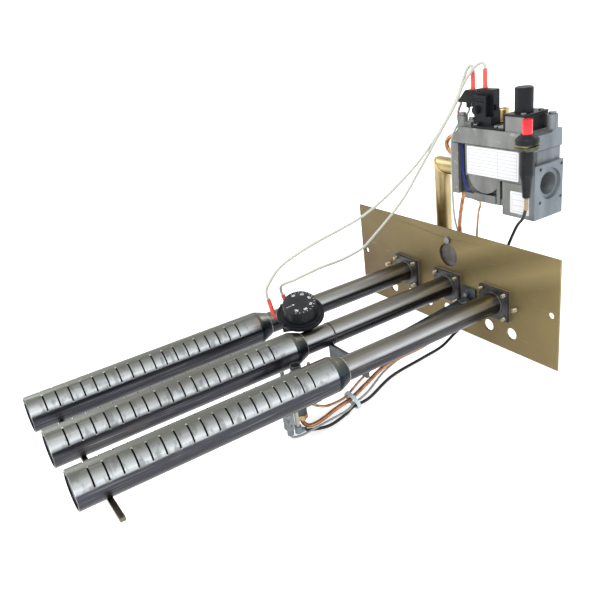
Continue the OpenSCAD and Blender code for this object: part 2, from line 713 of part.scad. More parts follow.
// Igniter
module igniter_bracket() color("#8c8150") at_axes() difference() {
  union() {
    box([82.5, -3, collar_low - tab_t], [104.5, body_front - 0.5, collar_low]);
    box([82.5, 18.2, collar_low - tab_t], [91, body_front - 0.5, 161]);
  }
  rod(igniter_x, igniter_y, 140, 170, igniter_d);
}

module igniter_body() color("#1d1e20") at_axes() difference() {
  union() {
    rod(igniter_x, igniter_y, 128.1, collar_low, igniter_d);
    translate([igniter_x, igniter_y, 109]) cylinder(d1 = 6.6, d2 = 10.6, h = 19.1);
    rod(igniter_x, igniter_y, collar_low, collar_low + 3, 20);
    translate([igniter_x, igniter_y, collar_low + 3])
      cylinder(d1 = 20, d2 = 12, h = collar_top - collar_low - 3);
  }
  rod(igniter_x, igniter_y, button_floor, far, button_d + 2 * run);
}

module igniter_nut() color("#6d705f") at_axes() difference() {
  hex(igniter_x, igniter_y, 152.9, collar_low - tab_t, 21.5);
  rod(igniter_x, igniter_y, 140, 170, igniter_d);
}

module igniter_button() color("#e5303a") at_axes()
  rod(igniter_x, igniter_y, button_low, button_top, button_d);

// Thermostat
module thermostat_body() color("#26292b") at_thermostat() {
  box([-19, -6, -stat_deep - bezel_t], [10, 18, -bezel_t]);
  cylinder(d = shaft_d, h = 9);
}

module thermostat_bezel() color("#1c1e20") at_thermostat() difference() {
  translate([0, 0, -bezel_t]) cylinder(d = bezel_d, h = bezel_t);
  translate([0, 0, -0.8]) difference() {
    cylinder(d = bezel_d - 4, h = 2);
    translate([0, 0, -over]) cylinder(d = bezel_d - 6.5, h = 4);
  }
  translate([0, 0, -bezel_t - over]) cylinder(d = shaft_d, h = 6);
  rotate([0, 0, 222]) box([bezel_d / 2 - 2, -1, -1.2], [bezel_d, 1, over]);
}

module wire_sleeve(ends) {
  v = ends[1] - ends[0];
  translate(ends[0]) rotate([0, acos(v[2] / norm(v)), atan2(v[1], v[0])]) cylinder(d = sleeve_d, h = norm(v));
}

module thermostat_terminals() color("#e2453f") {
  at_axes() {
    wire_sleeve(sleeve_a);
    wire_sleeve(sleeve_b);
  }
  at_thermostat() {
    box([-26.4, 4.6, -8.8], [-19, 7, -8]);
    box([-26.4, 4.6, -8], [-25.6, 7, -4]);
    box([-12.7, 18, -10.8], [-10.3, 21, -10]);
    box([-12.7, 20.2, -10], [-10.3, 21, -7]);
  }
}

module thermostat_dial() color("#191b1d") at_thermostat() difference() {
  translate([0, 0, dial_gap]) cylinder(d1 = dial_skirt_d, d2 = dial_d, h = dial_h);
  translate([0, 0, -over]) cylinder(d = shaft_d + 2 * run, h = 10.2);
}

module thermostat_wire_a() color("#dcdfd4") at_axes() tube_along(wire_a_route, wire_d, 4);

module thermostat_wire_b() color("#dcdfd4") at_axes() tube_along(wire_b_route, wire_d, 4);

mounting_plate();
burner_head_left();
burner_head_middle();
burner_head_right();
head_end_caps();
tube_reducers();
mixing_tube_left();
mixing_tube_middle();
mixing_tube_right();
weld_beads();
tube_flanges();
flange_gaskets();
flange_bolts();
head_support_bar();
cross_strap();
inspection_shutter();
shutter_pivot();
pilot_support();
pilot_support_bolts();
pilot_bracket();
pilot_burner();
pilot_gas_nut();
flame_sensor();
thermocouple();
ignition_electrode();
electrode_boot();
pilot_gas_pipe();
thermocouple_lead();
sensor_lead();
ignition_cable();
cable_tie();
gas_manifold();
gas_injectors();
manifold_brackets();
bracket_screws();
riser_pipe();
pipe_elbow();
valve_body();
valve_lid();
valve_cover();
valve_screws();
regulator_cap();
valve_coil();
terminal_block();
terminal_sleeves();
pilot_feed_loop();
valve_wires();
valve_labels();
valve_spindle();
valve_knob();
igniter_bracket();
igniter_body();
igniter_nut();
igniter_button();
thermostat_body();
thermostat_bezel();
thermostat_terminals();
thermostat_dial();
thermostat_wire_a();
thermostat_wire_b();
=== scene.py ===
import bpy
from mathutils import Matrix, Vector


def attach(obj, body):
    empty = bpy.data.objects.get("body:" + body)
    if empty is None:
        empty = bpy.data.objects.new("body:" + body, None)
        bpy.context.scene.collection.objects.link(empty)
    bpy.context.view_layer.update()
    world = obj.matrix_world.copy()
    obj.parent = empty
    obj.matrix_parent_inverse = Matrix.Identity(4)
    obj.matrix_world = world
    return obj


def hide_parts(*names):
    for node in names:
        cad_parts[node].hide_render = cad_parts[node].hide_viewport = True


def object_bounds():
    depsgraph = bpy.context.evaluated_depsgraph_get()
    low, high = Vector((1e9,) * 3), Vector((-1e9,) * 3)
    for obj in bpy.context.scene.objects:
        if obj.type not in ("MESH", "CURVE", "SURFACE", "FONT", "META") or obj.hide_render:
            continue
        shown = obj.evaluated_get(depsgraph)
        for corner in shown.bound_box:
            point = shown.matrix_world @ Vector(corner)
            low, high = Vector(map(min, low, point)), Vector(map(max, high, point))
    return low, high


bl_info = {
    "name": "Boiler gas burner dressing",
    "version": (1, 0, 0),
    "blender": (4, 5, 0),
    "location": "View3D > Sidebar > Burner",
    "description": "Dresses the packed gas burner with finishes, leads, threads, welds and dial marks",
    "category": "Object",
}

import math

import bpy
import numpy as np
from bpy.props import FloatProperty, FloatVectorProperty, IntProperty, PointerProperty
from mathutils import Matrix

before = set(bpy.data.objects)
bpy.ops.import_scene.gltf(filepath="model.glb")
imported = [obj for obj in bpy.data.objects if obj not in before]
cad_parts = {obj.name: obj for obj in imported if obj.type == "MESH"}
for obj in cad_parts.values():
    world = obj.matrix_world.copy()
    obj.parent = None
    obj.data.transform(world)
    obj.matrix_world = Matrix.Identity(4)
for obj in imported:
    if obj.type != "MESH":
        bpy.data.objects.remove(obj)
CAD_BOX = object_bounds()

# Sizes in millimetres. AXES is the middle tube's axis at the plate's front face, in the row frame; every
# other place is told from there
AXES = np.array([4.5, 0.0, -6.0])
TUBES = (-64.5, 0.0, 64.5)
HEAD_NEAR = -428.0
HEAD_END = -203.0
HEAD_R = 16.0
HEAD_WALL = 1.5
MIX_R = 11.0
CONE_LENGTH = 13.0
RIM = 0.25
# Slots of a head: how many, the first from the open end, half the width, the floor, the middle's angle in
# degrees, and the round saw's radius and depth
SLOTS = 18
SLOT_START = 14.0
SLOT_HALF = 0.7
# Where a slot cuts through the wall, its floor is a closed sheet inside the tube, black with painted shade
SLOT_FLOOR = 12.2
SLOT_TURN = 43.0
SAW_R = 50.0
SAW_DEPTH = 2.8
PLATE_T = 2.0
FLANGE_FRONT = -4.5
FLANGE_BOLT = (14.5, 12.5)
BRACKET_SCREW = (-4.5, 93.5, -1.1)
SEAM_Y = -157.2
RISER_X, RISER_Y, ELBOW_Z = -45.4, 39.4, 115.2
RISER_R, ELBOW_R = 8.6, 8.8
IGNITER_X, IGNITER_Y = 93.5, 8.0
CAP = (29.5, 48.5, 0.0)
KNOB = (66.8, 35.0, 0.0)
DIAL_TOP = 13.6
NUMBER_STEP = 45.0
NUMBER_START = 117.0
POINTER_TURN = -157.0
INK = 0.03
# For the materials, in metres in the row frame
SLOT_PITCH = 0.011
TUBE_PITCH = 0.0645
TUBE_X = 0.0045
TUBE_Z = -0.006
LID_JOINT_Z = 0.141
PORT_SIDE_X = 0.080
# Painted light and shade of the round steel parts by the angle round each tube: a painted top tone, a painted
# highlight on the flank and painted shade underneath
HEAD_PAINTED_LIGHT = ((0.12, 0.125, 0.105), (0.70, 0.74, 0.77), (0.045, 0.046, 0.055))
TUBE_PAINTED_LIGHT = ((0.12, 0.11, 0.085), (0.58, 0.60, 0.62), (0.04, 0.04, 0.046))
CONE_PAINTED_LIGHT = ((0.12, 0.115, 0.09), (0.045, 0.07, 0.08), (0.014, 0.016, 0.02))
# The thermostat's place, its two angles, and its two sleeves' ends in its own axes
STAT_BASE = np.array([-16.5, -176.3, 24.0])
STAT_TILT = math.radians(20.0)
STAT_TURN = math.radians(60.0)
SLEEVE_A = ((-25.8, 5.8, -4.0), (-29.0, 14.0, 9.5))
SLEEVE_B = ((-11.5, 20.5, -7.0), (-15.0, 24.5, 3.0))


def at(points):
    """Millimetres from the middle tube's axis to metres in the row frame: adds the shift, divides by 1000."""
    return (np.asarray(points, float) + AXES) / 1000.0


def stat_axes():
    """The thermostat's own axes as the rows of a matrix: right along its face, up it, and out of it."""
    t, u = STAT_TILT, STAT_TURN
    return np.array([
        [math.cos(u), math.sin(u), 0.0],
        [-math.sin(u) * math.cos(t), math.cos(u) * math.cos(t), math.sin(t)],
        [math.sin(u) * math.sin(t), -math.cos(u) * math.sin(t), math.cos(t)],
    ])


def on_stat(points):
    """Points in the thermostat's own axes to millimetres from the middle tube's axis."""
    return STAT_BASE + np.asarray(points, float) @ stat_axes()


# Routes of the leads, as in the part's source, in millimetres from the middle tube's axis
GAS = [(32, -217, -54), (32, -217, -56), (32.5, -215, -60), (34, -210, -63), (36, -199, -61), (38, -183, -55),
       (39, -166, -51), (38, -147, -44), (36, -123, -36), (34, -100, -35), (29, -60, -37), (24, -20, -31),
       (23.5, 2, -30), (19, 9, -23), (14.5, 15, -5), (9.5, 18, 16), (1, 20, 35), (-5, 23, 60), (-6, 28, 82),
       (-6, 30, 88), (-6, 30, 91), (-6, 30, 95)]
LOOP = [(-11, 30, 151), (-18, 30, 151), (-25, 30, 147), (-28, 30, 141), (-25, 30, 135), (-18, 30, 131),
        (-11, 30, 131)]
THERMO = [(34, -204.5, -42), (34, -204, -43.5), (34.5, -200, -46), (36, -192, -49), (36, -179, -50),
          (35.5, -168, -48.5), (34, -150, -40), (31, -126, -33), (29, -101, -32), (27, -60, -31),
          (26.5, -20, -26), (27, 2, -26), (27, 10, -20), (25, 17, 0), (22, 21, 20), (18, 24, 50),
          (15.5, 29, 74), (15.5, 32, 82), (15.5, 32, 85), (15.5, 32, 87)]
SENSOR = [(32, -231, -64), (32, -231, -66), (33, -228, -68), (35, -221, -68), (37, -213, -66),
          (39.5, -197, -63), (42.5, -175, -59), (42, -165, -55.5), (41, -148, -51), (33, -120, -43),
          (29, -90, -38), (26.5, -70, -36), (24, -50, -33), (22, -20, -27), (23, 2, -25.5), (22, 12, -14),
          (19, 20, 6), (12, 22, 20), (0, 24, 34), (-12, 24, 60), (-15, 24, 84), (-15, 24, 105),
          (-15, 24, 128), (-15, 25, 148), (-13, 31, 161), (-8, 38, 170), (-5, 39.5, 175), (-5, 39.5, 178)]
CABLE = [(35.5, -219, -62), (35.5, -217, -62.5), (33.5, -212, -67.3), (38.5, -193, -69), (41, -175, -63.5),
         (41.5, -166, -59), (43.5, -148, -56), (40, -117, -47), (36, -75, -46), (32, -44, -46),
         (29, -22, -40), (28.5, 2, -31.5), (34, 11, -22), (44, 17, 8), (60, 18, 45), (77, 14, 76),
         (88, 10, 88), (92, 8.5, 97), (93.5, 8, 103), (93.5, 8, 106), (93.5, 8, 109)]
WIRE_A = [tuple(on_stat(SLEEVE_A[1])), tuple(on_stat((-30, 16.5, 13.5))), (-42, -195, 48), (-40, -190, 56),
          (-36, -184, 65), (-31, -174, 73), (-27, -148, 82), (-34, -110, 85), (-37, -82, 89), (-41, -52, 97),
          (-41, -24, 111), (-32, -4, 131), (-18, 12, 159), (-9, 24, 184), (-6, 32, 203), (-4, 36, 214),
          (-1, 38, 218), (1.5, 38, 217), (2, 38, 213.5)]
WIRE_B = [tuple(on_stat(SLEEVE_B[1])), tuple(on_stat((-16, 25.6, 6))), (-42, -180, 44), (-36, -179, 49),
          (-26, -172, 54), (-30, -140, 55), (-42, -106, 50), (-50, -76, 50), (-53, -60, 55), (-46, -22, 87),
          (-32, -4, 122), (-16, 10, 158), (-5, 20, 183), (0, 27, 202), (6, 34, 215), (12, 37.5, 220.5),
          (17, 38, 219.5), (18, 38, 215.5)]
COIL_WIRE = [(-12, 36, 183.5), (-12, 36, 181), (-13, 34, 176), (-11, 31, 169), (-8, 30, 166),
             (-6.2, 29.4, 165.5)]
BLUE_WIRE = [(-1, 24, 147), (-1, 24, 144), (0, 23.5, 135), (-0.5, 23.5, 122), (2, 23.5, 106), (6, 23.5, 98)]


def unit(v):
    """Vectors along the last axis, each divided by its length."""
    return v / np.maximum(np.linalg.norm(v, axis=-1, keepdims=True), 1e-12)


def smooth(points, n):
    """A curve through every point: between two neighbours it is the cubic whose end slopes are half the
    chords of the points either side."""
    p = np.asarray(points, float)
    q = np.vstack([p[:1], p, p[-1:]])
    t = (np.arange(n) / n)[None, :, None]
    a, b, c, d = (q[i:len(q) - 3 + i, None, :] for i in range(4))
    body = 0.5 * (2 * b + (c - a) * t + (2 * a - 5 * b + 4 * c - d) * t ** 2
                  + (3 * b - a - 3 * c + d) * t ** 3)
    return np.vstack([body.reshape(-1, 3), p[-1:]])


def slopes(path):
    """Unit direction at each point of a path, from its neighbours."""
    return unit(np.vstack([path[1:2] - path[:1], path[2:] - path[:-2], path[-1:] - path[-2:-1]]))


def sweep(path, radius, sides, ref=(0.8, -0.55, 0.2)):
    """A tube's grid: at each path point a circle of the given radius in the plane across the path."""
    t = slopes(path)
    u = unit(np.cross(t, np.asarray(ref, float)))
    v = np.cross(t, u)
    a = np.linspace(0, 2 * np.pi, sides, endpoint=False)
    r = np.broadcast_to(np.asarray(radius, float), (len(path),))[:, None, None]
    around = np.cos(a)[None, :, None] * u[:, None, :] + np.sin(a)[None, :, None] * v[:, None, :]
    return path[:, None, :] + r * around


def lathe(profile, centre, axis=(0, 0, 1), across=(1, 0, 0), sides=48, shape=None):
    """A turned grid: each profile point (radius, height) goes round the axis, and shape(angle, radius,
    height) may change the radius."""
    axis = unit(np.asarray(axis, float))
    u = unit(np.asarray(across, float) - axis * np.dot(across, axis))
    v = np.cross(axis, u)
    a = np.linspace(0, 2 * np.pi, sides, endpoint=False)
    prof = np.asarray(profile, float)
    r = np.repeat(prof[:, :1], sides, axis=1)
    h = np.repeat(prof[:, 1:2], sides, axis=1)
    if shape is not None:
        r = shape(a[None, :], r, h)
    ring = np.cos(a)[None, :, None] * u + np.sin(a)[None, :, None] * v
    return np.asarray(centre, float) + h[:, :, None] * axis + r[:, :, None] * ring


def hexagon(flats, chamfer=0.28, ends=None):
    """A radius rule for a nut: half the flats over the cosine of the angle from the nearest flat's middle,
    cut by a cone near each end."""
    def rule(a, r, h):
        off = np.mod(a, math.pi / 3) - math.pi / 6
        corner = flats / 2 / np.cos(off)
        if ends is None:
            return np.minimum(corner, r)
        near = np.minimum(np.abs(h - ends[0]), np.abs(h - ends[1]))
        cone = flats / 2 * (1.02 - chamfer * 0.2) + near * 1.7
        return np.where(r < flats * 0.3, r, np.minimum(corner, cone))
    return rule


def mesh_of(name, grids, loop_rows=False):
    """One mesh from grids of points, rows by columns: the columns close into rings, and the end rows get a
    face each unless the rows close into a ring too."""
    verts, faces, uvs, base = [], [], [], 0
    for g in grids:
        m, n, _ = g.shape
        verts.append(g.reshape(-1, 3))
        i = np.arange(m if loop_rows else m - 1)
        j = np.arange(n)
        a = (i[:, None] * n + j[None, :]).ravel()
        b = (i[:, None] * n + (j[None, :] + 1) % n).ravel()
        c = (((i[:, None] + 1) % m) * n + (j[None, :] + 1) % n).ravel()
        d = (((i[:, None] + 1) % m) * n + j[None, :]).ravel()
        quads = np.stack([a, b, c, d], 1) + base
        faces += quads.tolist()
        along = np.concatenate([[0], np.cumsum(np.linalg.norm(np.diff(g.mean(1), axis=0), axis=1))])
        along = np.append(along, along[-1])
        u0 = np.repeat(j[None, :] / n, len(i), 0).ravel()
        v0 = np.repeat(along[i][:, None], n, 1).ravel()
        v1 = np.repeat(along[i + 1][:, None], n, 1).ravel()
        uvs.append(np.stack([u0, v0, u0 + 1 / n, v0, u0 + 1 / n, v1, u0, v1], 1).reshape(-1, 2))
        if not loop_rows:
            faces.append((np.arange(n)[::-1] + base).tolist())
            faces.append((np.arange(n) + base + (m - 1) * n).tolist())
            uvs.append(np.zeros((2 * n, 2)))
        base += m * n
    me = bpy.data.meshes.new(name)
    me.from_pydata(np.vstack(verts).tolist(), [], faces)
    layer = me.uv_layers.new(name="UVMap")
    layer.data.foreach_set("uv", np.vstack(uvs).astype(np.float32).ravel())
    me.update()
    return me


def piece(name, grids, material, body, replaced=(), loop_rows=False, flip=False, sharp=None):
    """Makes an object from grids in millimetres, gives it its finish and lets it ride on its body."""
    me = mesh_of(name, [at(g) for g in grids], loop_rows)
    if flip:
        me.flip_normals()
    ob = bpy.data.objects.new(name, me)
    bpy.context.scene.collection.objects.link(ob)
    me.materials.append(material)
    me.shade_smooth() if sharp is None else me.shade_flat()
    if sharp:
        me.shade_smooth()
        me.set_sharp_from_angle(angle=math.radians(sharp))
    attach(ob, body)
    if replaced:
        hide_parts(*replaced)
    return ob


def settings():
    """The sidebar's values for this scene."""
    return bpy.context.scene.burner_finish


class Wire:
    """A shader socket that can be added, multiplied and compared like a number."""

    def __init__(self, finish, socket):
        self.finish, self.socket = finish, socket

    def _maths(self, operation, *values):
        return self.finish.node("ShaderNodeMath", {"operation": operation}, dict(enumerate(values)))[0]

    def __add__(self, other):
        return self._maths("ADD", self, other)

    def __radd__(self, other):
        return self._maths("ADD", other, self)

    def __sub__(self, other):
        return self._maths("SUBTRACT", self, other)

    def __rsub__(self, other):
        return self._maths("SUBTRACT", other, self)

    def __mul__(self, other):
        return self._maths("MULTIPLY", self, other)

    def __rmul__(self, other):
        return self._maths("MULTIPLY", other, self)

    def __truediv__(self, other):
        return self._maths("DIVIDE", self, other)

    def __pow__(self, other):
        return self._maths("POWER", self, other)

    def sine(self):
        return self._maths("SINE", self)

    def modulo(self, other):
        return self._maths("MODULO", self, other)

    def turned(self, other):
        return self._maths("ARCTAN2", self, other)

    def size(self):
        return self._maths("ABSOLUTE", self)

    def over(self, other):
        return self._maths("GREATER_THAN", self, other)

    def most(self, other):
        return self._maths("MAXIMUM", self, other)

    def clipped(self):
        return self._maths("MULTIPLY", self, 1.0)._clamp()

    def _clamp(self):
        self.socket.node.use_clamp = True
        return self


class Finish:
    """One material and the nodes that feed its Principled shader."""

    def __init__(self, name, **constants):
        self.material = bpy.data.materials.new(name)
        self.material.use_nodes = True
        self.tree = self.material.node_tree
        self.shader = self.tree.nodes["Principled BSDF"]
        for key, value in constants.items():
            self.set(key.replace("_", " "), value)

    def set(self, key, value):
        """Puts a value or a link on one of the shader's sockets."""
        socket = self.shader.inputs[key]
        if isinstance(value, Wire):
            self.tree.links.new(value.socket, socket)
        elif isinstance(value, tuple) and len(value) == 3:
            socket.default_value = (*value, 1.0)
        else:
            socket.default_value = value

    def node(self, kind, options=None, values=None):
        """Adds a node: its options first, then its sockets' values or links; returns its outputs as wires."""
        made = self.tree.nodes.new(kind)
        for key, value in (options or {}).items():
            if key == "stops":
                ramp = made.color_ramp
                ramp.elements[0].position = value[0][0]
                ramp.elements[1].position = value[-1][0]
                for place, colour in value[1:-1]:
                    ramp.elements.new(place)
                for element, (place, colour) in zip(ramp.elements, value):
                    element.color = (*colour, 1.0)
            else:
                setattr(made, key, value)
        for key, value in (values or {}).items():
            socket = made.inputs[key]
            if isinstance(value, Wire):
                self.tree.links.new(value.socket, socket)
            elif (hasattr(socket.default_value, "__len__") and len(socket.default_value) == 4
                  and len(value) == 3):
                socket.default_value = (*value, 1.0)
            else:
                socket.default_value = value
        return [Wire(self, s) for s in made.outputs]

    def place(self, stretch=(1, 1, 1), turn=(0, 0, 0)):
        """Object coordinates, turned and stretched."""
        co = self.node("ShaderNodeTexCoord")[3]
        return self.node("ShaderNodeMapping", {"vector_type": "POINT"}, {0: co, 2: turn, 3: stretch})[0]

    def noise(self, where, scale, detail=4.0, rough=0.55):
        """Soft noise between 0 and 1."""
        return self.node("ShaderNodeTexNoise", {"noise_dimensions": "3D"},
                         {"Vector": where, "Scale": scale, "Detail": detail, "Roughness": rough})[0]

    def mixed(self, factor, a, b):
        """Colour a where factor is 0 and colour b where it is 1."""
        out = self.node("ShaderNodeMix", {"data_type": "RGBA", "blend_type": "MIX"}, {0: factor, 6: a, 7: b})
        return out[2]

    def ramp(self, factor, stops):
        """A colour read from stops along the factor."""
        return self.node("ShaderNodeValToRGB", {"stops": stops}, {0: factor})[0]

    def axis(self, where, index):
        """One of the three coordinates."""
        return self.node("ShaderNodeSeparateXYZ", None, {0: where})[index]

    def bump(self, height, strength, distance):
        """Feeds a height to the shader's normal."""
        out = self.node("ShaderNodeBump", None, {"Strength": strength, "Distance": distance,
                                                 "Height": height})[0]
        self.set("Normal", out)


def level(wire, low, high):
    """Spreads the part of a noise between low and high over 0 to 1."""
    return ((wire - low) / (high - low)).clipped()


def round_tube(f):
    """The angle round the nearest burner tube from its top towards +X, the arc tangent of the sideways over
    the upward distance, in radians, and the place along it."""
    co = f.place()
    across = (f.axis(co, 0) - TUBE_X + 1.5 * TUBE_PITCH).modulo(TUBE_PITCH) - TUBE_PITCH / 2
    return across.turned(f.axis(co, 2) - TUBE_Z), f.axis(co, 1)


def flank(dull, bright, shade):
    """Ramp stops of painted light and shade by degrees from a tube's top: from the top tone the colour rises
    with the cube of the angle to a painted highlight at the flank, drops to the painted shade past it, and
    darkens by about half underneath."""
    dull, bright, shade = (np.asarray(c) for c in (dull, bright, shade))
    rise = [(a, dull + (bright - dull) * (a / 62.0) ** 3) for a in (0, 20, 35, 44, 53, 62)]
    fall = [(71, bright * 0.6), (75, shade), (95, shade), (125, shade * 0.4), (180, shade * 0.5)]
    return rise + fall


def mirrored(stops):
    """Ramp stops over a full turn, 0.5 being the top, from colours by degrees from it, alike on both
    sides."""
    right = [(0.5 + a / 360.0, c) for a, c in stops]
    left = [(0.5 - a / 360.0, c) for a, c in stops[::-1] if a > 0]
    return left + right


def drawn_steel(name, stops, rough, slots=0.0, streak=0.30):
    """Drawn tube: its tone by the angle round the tube is painted light and shade, with a painted highlight
    on the flank and painted shade underneath, and drawing lines and clouds along it. With slots, the first
    one's place, burrs stand where the distance to the nearest slot is small; without, the plate's end is
    tinted."""
    f = Finish(name, Metallic=1.0)
    angle, y = round_tube(f)
    lines = f.noise(f.place((1400, 16, 1400)), 1.0, 3.0)
    clouds = f.noise(f.place((34, 11, 34)), 1.0, 4.0)
    spots = f.noise(f.place(), 900.0, 2.0)
    wander = (lines - 0.5) * 0.008 + (clouds - 0.5) * 0.022
    # Painted light and shade: the tone by the angle round the tube is a painted highlight on the flank and
    # painted shade underneath
    colour = f.ramp(angle / (2 * math.pi) + 0.5 + wander, mirrored(stops))
    colour = f.mixed(level(clouds, 0.56, 0.74) * (streak * 1.5), colour, (0.13, 0.115, 0.095))
    colour = f.mixed(level(lines, 0.56, 0.8) * streak, colour, (0.62, 0.63, 0.64))
    if not slots:
        warm = ((y + 0.050) / 0.045).clipped() * y.over(-0.060) * 0.55
        colour = f.mixed(warm, colour, (0.085, 0.072, 0.060))
    if slots:
        near = (y + slots + SLOT_PITCH / 2).modulo(SLOT_PITCH) - SLOT_PITCH / 2
        first, last = (HEAD_NEAR - 1.0) / 1000, (HEAD_END - 21.0) / 1000
        band = (0.00085 - near.size()).over(0.0) * y.over(first) * (last - y).over(0.0)
        side = angle.size()
        ends = (side.over(0.20) * (0.31 - side).over(0.0)).most(side.over(1.19) * (1.29 - side).over(0.0))
        smear = level(f.noise(f.place(), 330.0, 3.0), 0.42, 0.58)
        burr = f.mixed(smear, (0.62, 0.60, 0.55), (0.20, 0.11, 0.06))
        colour = f.mixed(band * ends * 0.75, colour, burr)
        # Soot patches on the flanks, which also dim the painted highlight there
        soot = (level(f.noise(f.place((90, 150, 90)), 1.0, 4.0), 0.50, 0.62) * side.over(0.3)
                * (1.35 - side).over(0.0))
        colour = f.mixed(soot * 0.55, colour, (0.12, 0.125, 0.13))
    f.set("Base Color", colour)
    f.set("Roughness", (rough + level(lines, 0.2, 0.8) * 0.12 + level(clouds, 0.3, 0.7) * 0.10).clipped())
    f.bump(lines * 0.6 + spots * 0.4, 0.2, 0.0001)
    return f.material


def scaled_steel(name, light, dark, rough=0.42):
    """Hot-formed dark steel: blue-grey scale in patches with small brown marks and a fine grain."""
    f = Finish(name, Metallic=0.85)
    patch = level(f.noise(f.place(), 70.0, 6.0, 0.6), 0.35, 0.65)
    grain = f.noise(f.place(), 1500.0, 3.0)
    rust = level(f.noise(f.place(), 240.0, 5.0), 0.62, 0.75)
    colour = f.mixed(patch, dark, light)
    f.set("Base Color", f.mixed(rust * 0.6, colour, (0.13, 0.075, 0.045)))
    f.set("Roughness", (rough + patch * 0.18 - grain * 0.08).clipped())
    f.bump(grain * 0.5 + patch * 0.5, 0.3, 0.00015)
    return f.material


def passivated_plate(name):
    """Yellow-passivated zinc sheet: olive brass with soft slanting bands, faint cloud and very fine grain,
    with painted light and shade, darker to the left and bottom, and two painted slanting highlight bands.
    """
    f = Finish(name, Metallic=0.75)
    bands = f.noise(f.place((5.0, 1.0, 11.0), (0, 0.65, 0)), 1.0, 2.0, 0.4)
    cloud = f.noise(f.place(), 22.0, 5.0, 0.6)
    grain = f.noise(f.place(), 2600.0, 2.0)
    scratch = level(f.noise(f.place((40, 1, 900), (0, 0.5, 0)), 1.0, 3.0), 0.64, 0.75)
    x, z = f.axis(f.place(), 0), f.axis(f.place(), 2)
    # Painted highlight: two soft slanting bands, on the right part of the plate
    slope = z - x * 0.42
    painted_highlight = ((1.0 - (slope + 0.013).size() / 0.017).clipped()
            + (1.0 - (slope - 0.026).size() / 0.015).clipped() * 0.7)
    # Painted light and shade: darker to the left and bottom, lighter to the right and top, plus the painted
    # highlight
    painted_light_and_tone = (0.13 + x * 1.3 + z * 1.5 + painted_highlight * ((x + 0.03) * 20.0).clipped() * 0.42
            + level(bands, 0.30, 0.70) * 0.16 + level(cloud, 0.3, 0.7) * 0.08).clipped()
    colour = f.ramp(painted_light_and_tone, [(0.0, (0.085, 0.058, 0.026)), (0.45, (0.20, 0.155, 0.068)),
                           (1.0, (0.35, 0.28, 0.135))])
    f.set("Base Color", f.mixed(scratch * 0.35, colour, (0.42, 0.38, 0.26)))
    f.set("Roughness", (0.44 - painted_light_and_tone * 0.10 + grain * 0.12).clipped())
    f.bump(grain * 0.5 + cloud * 0.5, 0.2, 0.00012)
    return f.material


def plated_steel(name, light, dark, rough=0.34):
    """Zinc-plated fasteners: pale with yellow and blue patches."""
    f = Finish(name, Metallic=1.0)
    patch = level(f.noise(f.place(), 420.0, 4.0), 0.35, 0.65)
    hue = level(f.noise(f.place(), 260.0, 2.0), 0.4, 0.6)
    f.set("Base Color", f.mixed(hue * 0.4, f.mixed(patch, dark, light), (0.32, 0.35, 0.36)))
    f.set("Roughness", (rough + patch * 0.14).clipped())
    f.bump(patch, 0.15, 0.0001)
    return f.material


def cast_alloy(name, light, dark):
    """Blasted die-cast alloy: mid grey with a fine sandy grain, soft flow marks, a few rubbed spots and a
    dark joint line under the lid, with painted shade in the front recess and a painted bluer tone on the side
    face.
    """
    f = Finish(name, Metallic=0.72)
    grain = f.noise(f.place(), 2400.0, 3.0)
    flow = level(f.noise(f.place((40, 40, 14)), 1.0, 5.0, 0.6), 0.3, 0.7)
    rub = level(f.noise(f.place(), 130.0, 4.0), 0.62, 0.78)
    colour = f.mixed(flow, dark, light)
    height = f.axis(f.place(), 2)
    joint = (0.00045 - (height - LID_JOINT_Z).size()).over(0.0)
    colour = f.mixed(rub * 0.3, colour, (0.62, 0.64, 0.66))
    x, y = f.axis(f.place(), 0), f.axis(f.place(), 1)
    # Painted shade: front faces deep in the recess below the lid are darkened
    deep_shade = y.over(0.0235) * (0.0615 - x).over(0.0) * x.over(0.0) * (LID_JOINT_Z - 0.001 - height).over(0.0)
    colour = f.mixed(deep_shade * 0.6, colour, (0.035, 0.04, 0.045))
    # Painted light: the faces past the port's side take a painted bluer tone
    side = ((x - PORT_SIDE_X) * 60.0).clipped()
    colour = f.mixed(side * 0.75, colour, f.mixed(flow, (0.115, 0.148, 0.172), (0.21, 0.25, 0.285)))
    f.set("Base Color", f.mixed(joint * 0.9, colour, (0.02, 0.02, 0.022)))
    f.set("Roughness", (0.50 + grain * 0.16 - rub * 0.14).clipped())
    f.bump(grain * 0.7 + flow * 0.3, 0.35, 0.00016)
    return f.material


def dull_brass(name, light, dark, rough=0.3):
    """Brass or yellow-plated pipe: golden with darker handling marks and lines round the turning."""
    f = Finish(name, Metallic=1.0)
    cloud = level(f.noise(f.place((60, 60, 25)), 1.0, 5.0, 0.6), 0.32, 0.68)
    grain = f.noise(f.place(), 1800.0, 2.0)
    f.set("Base Color", f.mixed(cloud, dark, light))
    f.set("Roughness", (rough + cloud * 0.12 + grain * 0.06).clipped())
    f.bump(grain, 0.15, 0.0001)
    return f.material


def copper_pipe(name, light, dark, rough=0.3):
    """Bent copper pipe: warm metal with brown oxide in patches and lines along it."""
    f = Finish(name, Metallic=1.0)
    patch = level(f.noise(f.place(), 140.0, 5.0), 0.35, 0.65)
    fine = f.noise(f.place(), 1600.0, 2.0)
    f.set("Base Color", f.mixed(patch, light, dark))
    f.set("Roughness", (rough + patch * 0.18 + fine * 0.05).clipped())
    f.bump(fine, 0.12, 0.0001)
    return f.material


